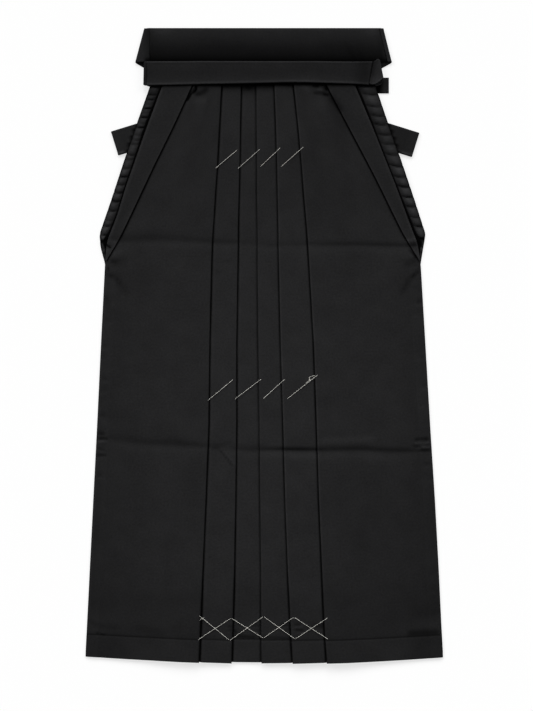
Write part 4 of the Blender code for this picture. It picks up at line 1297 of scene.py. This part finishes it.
def ribbon(node, rails, material, shade):
    """A sewn strap through pairs of edge points: rounded edges with a low raised rim.

    shade(x, down) gives its tone.
    """
    rails = np.array(rails, dtype=float)
    tangent = np.gradient(rails.mean(axis=1), axis=0)
    across = rails[:, 1] - rails[:, 0]
    normal = np.cross(tangent, across)
    normal /= np.linalg.norm(normal, axis=1)[:, None]
    width = np.linalg.norm(across, axis=1)[:, None]
    middle = rails[:, 0][:, None] + across[:, None] * STRAP_SHARES[:, None]
    from_first = STRAP_SHARES * width
    from_second = (1 - STRAP_SHARES) * width
    ends = rounded(from_first, 0.9) * rounded(from_second, 0.9)
    half = STRAP / 2 * ends
    raised = 0.5 * (drawn(RIM, from_first) + drawn(RIM, from_second)) * ends
    tone = 1 + drawn(STRAP_EDGE_LIGHT, from_first) + drawn(STRAP_EDGE_LIGHT, from_second)
    tone = tone * shade(middle[..., 0], middle[..., 1])
    grids = []
    for offset in (half + raised, -half):
        grid = middle + offset[..., None] * normal[:, None]
        grids.append(to_metres(grid[..., 0], grid[..., 1], np.maximum(grid[..., 2], 0.02)))
    return shell(node, *grids, material, tone)


def square_to(upper_edge, lower_edge, outwards):
    """The direction square to a crease, towards outwards along x."""
    line = Vector(lower_edge) - Vector(upper_edge)
    normal = Vector((line.y, -line.x)).normalized()
    return -normal if normal.x * outwards < 0 else normal


def fold_over(upper_edge, lower_edge, z_start, z_end, outwards, steps=10):
    """Rails of a half turn round a crease, from one height to another."""
    radius = abs(z_start - z_end) / 2
    normal = square_to(upper_edge, lower_edge, outwards)
    rails = []
    for step in range(steps + 1):
        angle = math.pi * step / steps
        shift = normal * (radius * math.sin(angle) - radius - STRAP / 2)
        z = (z_start + z_end) / 2 + (z_start - z_end) / 2 * math.cos(angle)
        rails.append(tuple((edge[0] + shift.x, edge[1] + shift.y, z)
                           for edge in (upper_edge, lower_edge)))
    return rails


def carried_on(rail, direction, distance):
    """The same pair of edge points, further along."""
    return tuple((point[0] + direction.x * distance, point[1] + direction.y * distance, point[2])
                 for point in rail)


def between(first, last, steps):
    """Rails from one pair of edge points towards another, without the last."""
    first = np.array(first)
    last = np.array(last)
    return [tuple(map(tuple, first + (last - first) * step / steps)) for step in range(steps)]


def strap_rail(start, end, share, width):
    """A pair of edge points this share of the way between two stops."""
    slope = math.radians(mix(start.slope, end.slope, share))
    x = mix(start.x, end.x, share)
    down = mix(start.down, end.down, share)
    z = STRAP_REST + mix(start.level, end.level, float(smooth(share))) * STRAP_PITCH
    half = Vector((-math.sin(slope), math.cos(slope))) * width / 2
    return ((x - half.x, down - half.y, z), (x + half.x, down + half.y, z))


def strap_route(stops, width, steps=10):
    """Pairs of edge points along a strap that lies flat, upper edge first."""
    rails = [strap_rail(start, end, step / steps, width)
             for start, end in zip(stops, stops[1:]) for step in range(steps)]
    rails.append(strap_rail(stops[-2], stops[-1], 1, width))
    return rails


BACK_STRAP_LOW_SHADE = 0.6  # share of light lost where it shows below the band's lower edge
BACK_STRAP_SEAM_TONE = 0.66     # of the right one at its seam
BACK_STRAP_FOLD_TONE = 1.14     # and at its fold
BACK_STRAP_LEFT_TONE = 1.1      # and of the left one
BACK_STRAP_FRONT_SHADE = 0.9    # share of light lost towards the front waistband


def back_strap_shade(x, down):
    """Painted shade where it shows below the band's lower edge and near the front waistband,
    painted light beside the seam.
    """
    below = 1 - BACK_STRAP_LOW_SHADE * smooth((down + BACK_BAND_BOTTOM) / 1.5)
    from_seam = smooth((-x - BACK_BAND_SEAM + SEAM_LAP) / 13)
    right = mix(BACK_STRAP_SEAM_TONE, BACK_STRAP_FOLD_TONE, from_seam)
    near_front = smooth((x + 194) / 9) * smooth((down + 47) / 6)
    right = right * (1 - BACK_STRAP_FRONT_SHADE * near_front)
    return below * np.where(x < 0, right, BACK_STRAP_LEFT_TONE)


def spread_out(turn):
    """Let the lower edge slip down evenly round the fold."""
    steps = len(turn) - 1
    return [(first, (second[0], second[1] + BACK_STRAP_SPREAD * count / steps, second[2]))
            for count, (first, second) in enumerate(turn)]


def build_back_strap(node, outwards, start_line, top_x, bottom_x, material):
    """The band's end, folded behind along a slanted crease, then its first run inwards."""
    upper_edge = (top_x, -BACK_BAND_TOP)
    lower_edge = (bottom_x, -BACK_BAND_BOTTOM)
    width = BACK_BAND_TOP - BACK_BAND_BOTTOM
    slant = math.atan2(abs(bottom_x - top_x), width)
    direction = Vector((-outwards * math.cos(2 * slant), math.sin(2 * slant)))
    z_top = STRAP_PITCH + 2.6 - STRAP / 2
    start = ((start_line[0], -BACK_BAND_TOP, z_top + 0.35),
             (start_line[1], -BACK_BAND_BOTTOM, z_top - 0.1))
    turn = spread_out(fold_over(upper_edge, lower_edge, z_top, STRAP_REST, outwards))
    square = Vector((-direction.y, direction.x)) * -outwards * (width + BACK_STRAP_SPREAD)
    first = carried_on(turn[-1], direction, BACK_STRAP_LENGTH)[0]
    last = (first, (first[0] + square.x, first[1] + square.y, STRAP_REST))
    rails = [*between(start, turn[0], 4), *turn[:-1], *between(turn[-1], last, 12), last]
    return ribbon(node, rails, material, back_strap_shade)


TAB_LOWER_SLOPE = 0.26      # how a folded strap's lower edge rises towards the middle
TAB_FOLD_LIGHT = Line(0.40, 4, 4)
TAB_LOWER_LIGHT = Line(1.1, 3.8, 1.7)
TAB_FOLD_SHADE = Line(0.6, 0, 1.2)
TAB_LOWER_SHADE = Line(0.7, 0.8, 1.3)


def tab_tone(x, down, fold):
    """A strap's visible fold: painted shade right at its edges, painted highlights just inside
    them.
    """
    upper, lower = (Vector((abs(point[0]), point[1])) for point in fold)
    along = (lower - upper).normalized()
    from_fold = (upper.x - np.abs(x)) * along.y + (down - upper.y) * along.x
    from_lower = lower.y - TAB_LOWER_SLOPE * (lower.x - np.abs(x)) - down
    light = drawn(TAB_FOLD_LIGHT, from_fold) + drawn(TAB_LOWER_LIGHT, from_lower)
    fold_tone = 1 - drawn(TAB_FOLD_SHADE, from_fold)
    return (1 + light) * fold_tone * (1 - drawn(TAB_LOWER_SHADE, from_lower))


TAB_ROWS = (60, 125)        # the visible folds lie between these distances down
RIGHT_TAB_TONE = 0.85       # the right strap's fold, at the wearer's left, is darker
GATHER_SHADOW = 0.97        # share of light lost under the gathered edge
SLIVER_TONE = 0.75          # of the right strap beyond the waistband's end


def front_strap_shade(x, down):
    """Painted shadow: black where a visible fold passes under the gathered edge of the back
    cloth.
    """
    right_edge, left_edge = (at(BACK, "down", down, column, GATHER_ROUNDING)
                             for column in BackRow._fields[1:])
    edge = np.where(x < 0, right_edge, left_edge)
    outside = np.abs(x) - np.abs(edge)
    passing = (down > TAB_ROWS[0]) * (down < TAB_ROWS[1])
    from_boundary = x - 166.2 + (down + 4.4) * 0.2
    twisted = (down < 0) * (x > 160)
    rising = 0.50 + 0.75 * smooth((from_boundary + 1) / 11) + 0.35 * smooth((down + 20) / 12)
    tab = np.where(x < 0, tab_tone(x, down, LEFT_STRAP_FOLD),
                   RIGHT_TAB_TONE * tab_tone(x, down, RIGHT_STRAP_FOLD))
    tab = tab * (1 - GATHER_SHADOW * smooth((2.8 - outside) / 1.9))
    shade = np.where(passing, tab, 1.0)
    sliver = (x < -185) * (down < 0)
    return shade * np.where(twisted, rising, 1.0) * np.where(sliver, SLIVER_TONE, 1.0)


def build_front_strap(node, turn, stops, last_fold, outwards, material):
    """Round the edge of the stack, across behind it, and back from the fold that shows."""
    route = strap_route(stops, FRONT_STRAP_WIDTH)
    showing = fold_over(*last_fold, STRAP_REST, STRAP_RUN, -outwards)
    end = carried_on(showing[-1], square_to(*last_fold, outwards), FOLDED_BACK)
    rails = [*turn[:-1], *between(turn[-1], route[0], 4), *route,
             *between(route[-1], showing[0], 30)[1:], *showing[:-1],
             *between(showing[-1], end, 10), end]
    return ribbon(node, rails, material, front_strap_shade)


# The left strap's twisted fold: its two edges, and how high it stands over the band's end
TwistRow = namedtuple("TwistRow", "top_x top_down low_x low_down top_rise low_rise")
TWIST = table(
    TwistRow,
    (173.0, -38.1, 166.2, -3.4, 0.1, 0.1), (174.4, -38.5, 167.4, -1.8, 0.8, 0.7),
    (176.2, -39.6, 170.2, -0.8, 1.5, 1.0), (178.0, -41.2, 174.6, -1.4, 1.8, 1.1),
    (179.7, -41.8, 179.6, -4.0, 1.5, 0.9), (181.2, -41.3, 184.8, -8.0, 0.9, 0.5),
    (182.2, -40.2, 187.4, -11.0, 0.1, -0.2), (182.5, -39.2, 188.2, -10.6, -0.9, -1.2),
    (182.0, -38.2, 187.6, -8.0, -1.9, -2.1), (181.1, -37.3, 186.2, -4.6, -2.9, -3.0),
    (180.2, -37.2, 184.8, -2.0, -3.6, -3.6),
)


def twist_rails(z_top):
    """Edge points of the twisted fold, eased through the rows above."""
    places = np.linspace(0, len(TWIST) - 1, 31)
    columns = {name: np.interp(places, range(len(TWIST)), [getattr(row, name) for row in TWIST])
               for name in TwistRow._fields}
    fall = (z_top - STRAP_RUN) / -TWIST[-1].top_rise

    def edge_points(edge):
        rise = columns[edge + "_rise"]
        height = z_top + np.where(rise < 0, rise * fall, rise)
        return zip(columns[edge + "_x"], columns[edge + "_down"], height)

    return list(zip(edge_points("top"), edge_points("low")))


def strap_end_shade(x, _):
    """Painted shade next to the waistband, wherever it lies down the garment."""
    return mix(DARKEST, 1, smooth((x - 182.5) / 7))


def build_straps(material):
    z_top = float(front_base(0)) + PITCH + 1.8
    seam = BAND_RIGHT_END + SEAM_LAP
    start = tuple((seam, down, z_top) for _, down in RIGHT_STRAP_CREASE)
    turn = fold_over(*RIGHT_STRAP_CREASE, z_top, STRAP_RUN, -1)
    build_front_strap("front_strap_right", [*between(start, turn[0], 6), *turn], RIGHT_STRAP,
                      RIGHT_STRAP_FOLD, -1, material)
    build_front_strap("front_strap_left", twist_rails(z_top), LEFT_STRAP, LEFT_STRAP_FOLD, 1,
                      material)
    right_lap = -BACK_BAND_SEAM + SEAM_LAP
    left_lap = -LIGHT_STRIP - SEAM_LAP
    build_back_strap("back_strap_right", -1, (right_lap, right_lap), BACK_BAND_RIGHT_TOP,
                     BACK_BAND_RIGHT_BOTTOM, material)
    build_back_strap("back_strap_left", 1,
                     (BACK_BAND_LEFT_TOP + left_lap, BACK_BAND_LEFT_BOTTOM + left_lap),
                     BACK_BAND_LEFT_TOP, BACK_BAND_LEFT_BOTTOM, material)
    ribbon("back_strap_end_left", strap_route(STRAP_END, STRAP_END_WIDTH, steps=8), material,
           strap_end_shade)


# ---- Basting threads

THREAD_RADIUS = 0.175       # of one of the two twisted plies
PLY_OFFSET = 0.135
PLY_PITCH = 3.6             # length of one turn of the twist
THREAD_STEP = 0.8
THREAD_SIDES = 7
DIP = 0.9                   # how far the ends go down into the cloth
DIP_REACH = 2.4             # over this length of thread
TAUT_SHARE = 0.6            # how far a thread bridges the hollows under it
KNOT_LIFT = 0.9             # middle of a knot over the cloth
MIDDLE_KNOT = 1.5           # its size
HEM_KNOT = 1.1

# Corners of each run of thread: x and down
UPPER_STITCHES = (
    ((-77.7, 131.6), (-42.6, 101.9)), ((-42.6, 132.2), (-6.3, 100.3)),
    ((-6.7, 128.9), (25.9, 98.3)), ((25.9, 129.3), (62.4, 97.0)),
)
MIDDLE_STITCHES = (
    ((-90.3, 499.0), (-48.9, 464.7)), ((-47.3, 496.6), (-4.4, 464.1)),
    ((-2.5, 496.1), (33.4, 463.6)), ((35.7, 496.1), (84.6, 457.6)),
)
ZIGZAG_DOWN = ((-103.4, 838.1), (-54.7, 878.2), (-1.3, 840.1), (48.7, 875.6), (100.4, 841.6))
ZIGZAG_UP = ((-105.3, 877.1), (-52.7, 842.7), (-1.5, 874.6), (46.7, 840.8), (101.2, 876.0))
MIDDLE_TAIL = ((66.0, 470.4), (71.7, 466.0), (71.0, 461.2), (75.5, 459.8), (80.3, 458.7))
ZIGZAG_TAIL = ((-101.8, 845.6), (-98.3, 843.4), (-95.6, 841.9))


def surface_finder(pieces):
    """A function that gives the height of the cloths' upper surface, in mm."""
    trees = [BVHTree.FromObject(piece, bpy.context.evaluated_depsgraph_get()) for piece in pieces]

    def height(x, down):
        start = Vector(to_metres(x, down, 60.0).tolist())
        hits = [tree.ray_cast(start, Vector((0, 0, -1)))[0] for tree in trees]
        return max([hit.z * 1000 for hit in hits if hit is not None], default=0.0)

    return height


def taut(heights):
    """The lowest line over a row of heights that a stretched thread can take."""
    stack = []
    for place, height in enumerate(heights):
        while len(stack) > 1:
            (x1, z1), (x2, z2) = stack[-2:]
            if (z2 - z1) * (place - x1) > (height - z1) * (x2 - x1):
                break
            stack.pop()
        stack.append((place, height))
    return np.interp(np.arange(len(heights)), *zip(*stack))


def thread_path(surface, corners, dips=True):
    """Points of a thread laid over the cloth, down into it at each corner."""
    path = []
    for (x_start, down_start), (x_end, down_end) in zip(corners, corners[1:]):
        length = math.hypot(x_end - x_start, down_end - down_start)
        count = max(int(length / THREAD_STEP), 4)
        shares = np.linspace(0, 1, count)
        x = mix(x_start, x_end, shares)
        down = mix(down_start, down_end, shares)
        ground = np.array([surface(a, b) for a, b in zip(x, down)])
        z = (1 - TAUT_SHARE) * ground + TAUT_SHARE * taut(ground)
        z = z + THREAD_RADIUS + PLY_OFFSET
        if dips:
            ends = np.minimum(shares, 1 - shares) * length
            z = z - DIP * (1 - smooth(ends / DIP_REACH))
        points = np.stack((x, down, z), axis=1)
        path.extend(points if not path else points[1:])
    return np.array(path)


def thread_axes(points):
    """The two directions square to a thread at each of its points, the second one up."""
    tangent = np.gradient(points, axis=0)
    tangent /= np.linalg.norm(tangent, axis=1)[:, None]
    right = np.cross(tangent, (0.0, 0.0, 1.0))
    right /= np.maximum(np.linalg.norm(right, axis=1), 1e-6)[:, None]
    return right, np.cross(right, tangent)


def tube(points, radius):
    """Vertices and faces of a closed tube through the points."""
    right, up = thread_axes(points)
    sides = THREAD_SIDES
    turns = 2 * math.pi * np.arange(sides) / sides
    ring = right[:, None] * np.cos(turns)[:, None] + up[:, None] * np.sin(turns)[:, None]
    vertices = (points[:, None] + radius * ring).reshape(-1, 3)
    faces = []
    for row in range(len(points) - 1):
        for k in range(sides):
            a = row * sides + k
            b = row * sides + (k + 1) % sides
            faces.append((a, b, b + sides, a + sides))
    faces.append(tuple(range(sides - 1, -1, -1)))
    faces.append(tuple(range((len(points) - 1) * sides, len(points) * sides)))
    return vertices, faces


def plies(path):
    """Two tubes twisted round each other along a path."""
    right, up = thread_axes(path)
    turn = 2 * math.pi * arc_lengths(path)[:, None] / PLY_PITCH
    for half in (0.0, math.pi):
        offset = right * np.cos(turn + half) + up * np.sin(turn + half)
        yield tube(path + PLY_OFFSET * offset, THREAD_RADIUS)


def knot(x, down, z, size):
    """A small thread knot: a trefoil of thread drawn tight."""
    turn = np.linspace(0, 2 * math.pi, 60)
    points = np.stack((
        x + size * (np.sin(turn) + 2 * np.sin(2 * turn)) / 3,
        down + size * (np.cos(turn) - 2 * np.cos(2 * turn)) / 3,
        z + size * (0.6 - np.sin(3 * turn)) / 2.5), axis=1)
    return tube(points, THREAD_RADIUS * 1.15)


def threads_object(name, parts, material):
    """One piece of all the tubes of a row of basting."""
    vertices = []
    faces = []
    for points, quads in parts:
        base = len(vertices)
        vertices.extend(to_metres(points[:, 0], points[:, 1], points[:, 2]).tolist())
        faces.extend(tuple(base + k for k in face) for face in quads)
    mesh = bpy.data.meshes.new(name)
    mesh.from_pydata(vertices, [], faces)
    mesh.validate()
    mesh.shade_smooth()
    mesh.materials.append(material)
    piece = add_object(name, mesh)
    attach(piece, "root")


def build_threads(cloths, material):
    """Three rows of basting; the lower two each have a loose tail with a knot."""
    surface = surface_finder(cloths)
    rows = (
        ("basting_upper", UPPER_STITCHES, None, 0),
        ("basting_middle", MIDDLE_STITCHES, MIDDLE_TAIL, MIDDLE_KNOT),
        ("basting_hem", (ZIGZAG_DOWN, ZIGZAG_UP), ZIGZAG_TAIL, HEM_KNOT),
    )
    for name, runs, tail, knot_size in rows:
        parts = []
        for corners in runs:
            parts.extend(plies(thread_path(surface, corners)))
        if tail:
            parts.extend(plies(thread_path(surface, tail, dips=False)))
            x, down = tail[1]
            parts.append(knot(x, down, surface(x, down) + KNOT_LIFT, knot_size))
        threads_object(name, parts, material)


# ---- Materials

def set_inputs(node, inputs):
    for name, value in inputs.items():
        node.inputs[name].default_value = value


def new_material(name, inputs):
    """A material, its nodes, and its shader with these inputs."""
    material = bpy.data.materials.new(name)
    material.use_nodes = True
    nodes = material.node_tree.nodes
    shader = nodes["Principled BSDF"]
    set_inputs(shader, inputs)
    return material, nodes, shader


def add_node(nodes, kind, inputs, **settings):
    node = nodes.new("ShaderNode" + kind)
    for name, value in settings.items():
        setattr(node, name, value)
    set_inputs(node, inputs)
    return node


def colour_mix(nodes, dark, light):
    """A mix of two colours, by a factor that is linked to it."""
    return add_node(nodes, "Mix", {"A": (*dark, 1.0), "B": (*light, 1.0)}, data_type="RGBA")


def connect(material, *wires):
    """Link outputs to inputs: each wire is a node, its output, a node and its input."""
    for source, output, target, entry in wires:
        material.node_tree.links.new(source.outputs[output], target.inputs[entry])


CLOTH_COLOURS = ((0.0152, 0.0152, 0.0156), (0.0340, 0.0340, 0.0350))    # dark and light
BAND_COLOURS = ((0.0120, 0.0120, 0.0124), (0.0250, 0.0250, 0.0258))
CLOTH_TWILL = 0.75          # mm from one rib to the next
BAND_TWILL = 0.7
TWILL_TURN = 58             # degrees by which the ribs are turned on the cloth
NAP_CONTRAST = 0.9          # share of the colour range that the fine nap covers


def cloth_material(name, dark, light, twill_pitch):
    """Black twill: fine slanting ribs, a fibre grain, a fine nap and a slow change of tone."""
    material, nodes, shader = new_material(name, {
        "Roughness": 0.9, "Specular IOR Level": 0.04, "Sheen Weight": 0.02,
        "Sheen Roughness": 0.45, "Sheen Tint": (0.5, 0.5, 0.52, 1.0)})
    weave = add_node(nodes, "UVMap", {}, uv_map="Weave")
    turned = add_node(nodes, "Mapping", {"Rotation": (0, 0, math.radians(TWILL_TURN))})
    ribs = add_node(nodes, "TexWave", {
        "Scale": math.pi / 10 / (twill_pitch / 1000), "Distortion": 0.6, "Detail": 1.0,
        "Detail Scale": 2.0}, wave_type="BANDS", bands_direction="X")
    fibres = add_node(nodes, "TexNoise", {"Scale": 1900.0, "Detail": 2.0})
    patches = add_node(nodes, "TexNoise", {"Scale": 22.0, "Detail": 4.0, "Roughness": 0.62})
    nap = add_node(nodes, "TexNoise", {"Scale": 330.0, "Detail": 2.0, "Roughness": 0.6})
    centred = add_node(nodes, "Math", {1: NAP_CONTRAST, 2: -NAP_CONTRAST / 2},
                       operation="MULTIPLY_ADD")
    napped = add_node(nodes, "Math", {}, operation="ADD")
    threads = add_node(nodes, "Mix", {"Factor": 0.35})
    grain = add_node(nodes, "Mix", {"Factor": 0.3})
    colour = colour_mix(nodes, dark, light)
    bump = add_node(nodes, "Bump", {"Strength": 0.35, "Distance": 0.00012})
    # The Tone attribute scales the colour: painted light and shade, with some slow changes of
    # tone
    tone = add_node(nodes, "Attribute", {}, attribute_name="Tone")
    toned = add_node(nodes, "VectorMath", {}, operation="SCALE")
    connect(
        material,
        (weave, "UV", turned, "Vector"), (turned, "Vector", ribs, "Vector"),
        (weave, "UV", fibres, "Vector"), (weave, "UV", patches, "Vector"),
        (ribs, "Fac", threads, "A"), (fibres, "Fac", threads, "B"),
        (threads, "Result", bump, "Height"), (bump, "Normal", shader, "Normal"),
        (patches, "Fac", grain, "A"), (threads, "Result", grain, "B"),
        (weave, "UV", nap, "Vector"), (nap, "Fac", centred, 0),
        (grain, "Result", napped, 0), (centred, "Value", napped, 1),
        (napped, "Value", colour, "Factor"), (colour, "Result", toned, 0),
        (tone, "Fac", toned, "Scale"), (toned, "Vector", shader, "Base Color"))
    return material


def thread_material():
    """Unbleached cotton, fuzzy and matte."""
    material, nodes, shader = new_material("basting_cotton", {
        "Roughness": 0.85, "Specular IOR Level": 0.2, "Sheen Weight": 0.2})
    place = add_node(nodes, "TexCoord", {})
    fuzz = add_node(nodes, "TexNoise", {"Scale": 2600.0, "Detail": 3.0})
    colour = colour_mix(nodes, (0.62, 0.60, 0.55), (0.86, 0.85, 0.80))
    bump = add_node(nodes, "Bump", {"Strength": 0.4, "Distance": 0.0001})
    connect(
        material,
        (place, "Object", fuzz, "Vector"), (fuzz, "Fac", colour, "Factor"),
        (colour, "Result", shader, "Base Color"), (fuzz, "Fac", bump, "Height"),
        (bump, "Normal", shader, "Normal"))
    return material


# ---- Surroundings

FRAME_HEIGHT = 711 * 1.585  # mm of floor in the frame: its pixels, and mm in one of them
VIEW_CENTRE = (3.4, -15.3)
LENS = 110.0
SENSOR = 36.0
SUNS = (("sun_top_right", 48, 1.85), ("sun_top", 0, 2.35), ("sun_top_left", -48, 1.05))
SUN_HEIGHT = 30             # degrees over the floor
SUN_WIDTH = 28.0            # degrees across
WORLD_STRENGTH = 0.26
WHITE = (1.0, 1.0, 1.0, 1.0)
CONTRAST = 0.87             # under 1 deepens the dark tones
FLOOR_GLOW = 0.72           # the garment lies on a lit white table
FLOOR_HEIGHT = -0.0004      # metres: clear of the lowest cloth
FLOOR_REACH = 12.0          # metres from the middle to each side


def build_camera():
    data = bpy.data.cameras.new("camera")
    data.lens = LENS
    data.sensor_width = SENSOR
    camera = add_object("camera", data)
    distance = FRAME_HEIGHT * LENS / SENSOR / 1000
    camera.location = (VIEW_CENTRE[0] / 1000, VIEW_CENTRE[1] / 1000, distance)
    data.clip_start = 0.05
    data.clip_end = 50
    bpy.context.scene.camera = camera


def sun(name, azimuth, strength):
    """A wide distant light. Azimuth 0 comes from the top of the garment, 90 from its right."""
    data = bpy.data.lights.new(name, "SUN")
    data.energy = strength
    data.angle = math.radians(SUN_WIDTH)
    turn = math.radians(azimuth)
    rise = math.radians(SUN_HEIGHT)
    towards = Vector((-math.sin(turn) * math.cos(rise), math.cos(turn) * math.cos(rise),
                      math.sin(rise)))
    add_object(name, data).rotation_euler = towards.to_track_quat("Z", "Y").to_euler()


def build_floor():
    """A white table with a faint grain, glowing a little so that it stays white."""
    mesh = bpy.data.meshes.new("floor")
    corners = ((-1, -1), (1, -1), (1, 1), (-1, 1))
    points = [(x * FLOOR_REACH, y * FLOOR_REACH, FLOOR_HEIGHT) for x, y in corners]
    mesh.from_pydata(points, [], [(0, 1, 2, 3)])
    floor = add_object("floor", mesh)
    material, nodes, shader = new_material("floor_paper", {
        "Roughness": 0.9, "Specular IOR Level": 0.1, "Emission Color": WHITE,
        "Emission Strength": FLOOR_GLOW})
    grain = add_node(nodes, "TexNoise", {"Scale": 3.0})
    colour = colour_mix(nodes, (0.245, 0.245, 0.245), (0.255, 0.255, 0.255))
    connect(material, (grain, "Fac", colour, "Factor"), (colour, "Result", shader, "Base Color"))
    mesh.materials.append(material)


def build_light():
    world = bpy.data.worlds.new("studio")
    world.use_nodes = True
    set_inputs(world.node_tree.nodes["Background"], {"Color": WHITE, "Strength": WORLD_STRENGTH})
    bpy.context.scene.world = world
    for name, azimuth, strength in SUNS:
        sun(name, azimuth, strength)
    bpy.context.scene.view_settings.view_transform = "Standard"
    bpy.context.scene.view_settings.gamma = CONTRAST


# ---- The whole

def main():
    build_camera()
    cloth = cloth_material("black_twill", *CLOTH_COLOURS, CLOTH_TWILL)
    band = cloth_material("black_band_twill", *BAND_COLOURS, BAND_TWILL)
    back_cloth("right", right_back_ending, cloth)
    back_cloth("left", left_back_ending, cloth)
    fronts = build_front_cloths(cloth)
    build_strip("right", right_front_height, RIGHT_TOP_LEVEL, cloth)
    build_strip("left", left_front_height, LEFT_TOP_LEVEL, cloth)
    build_front_band(band)
    build_back_band(band)
    build_straps(band)
    build_threads(fronts, thread_material())
    build_floor()
    build_light()


main()
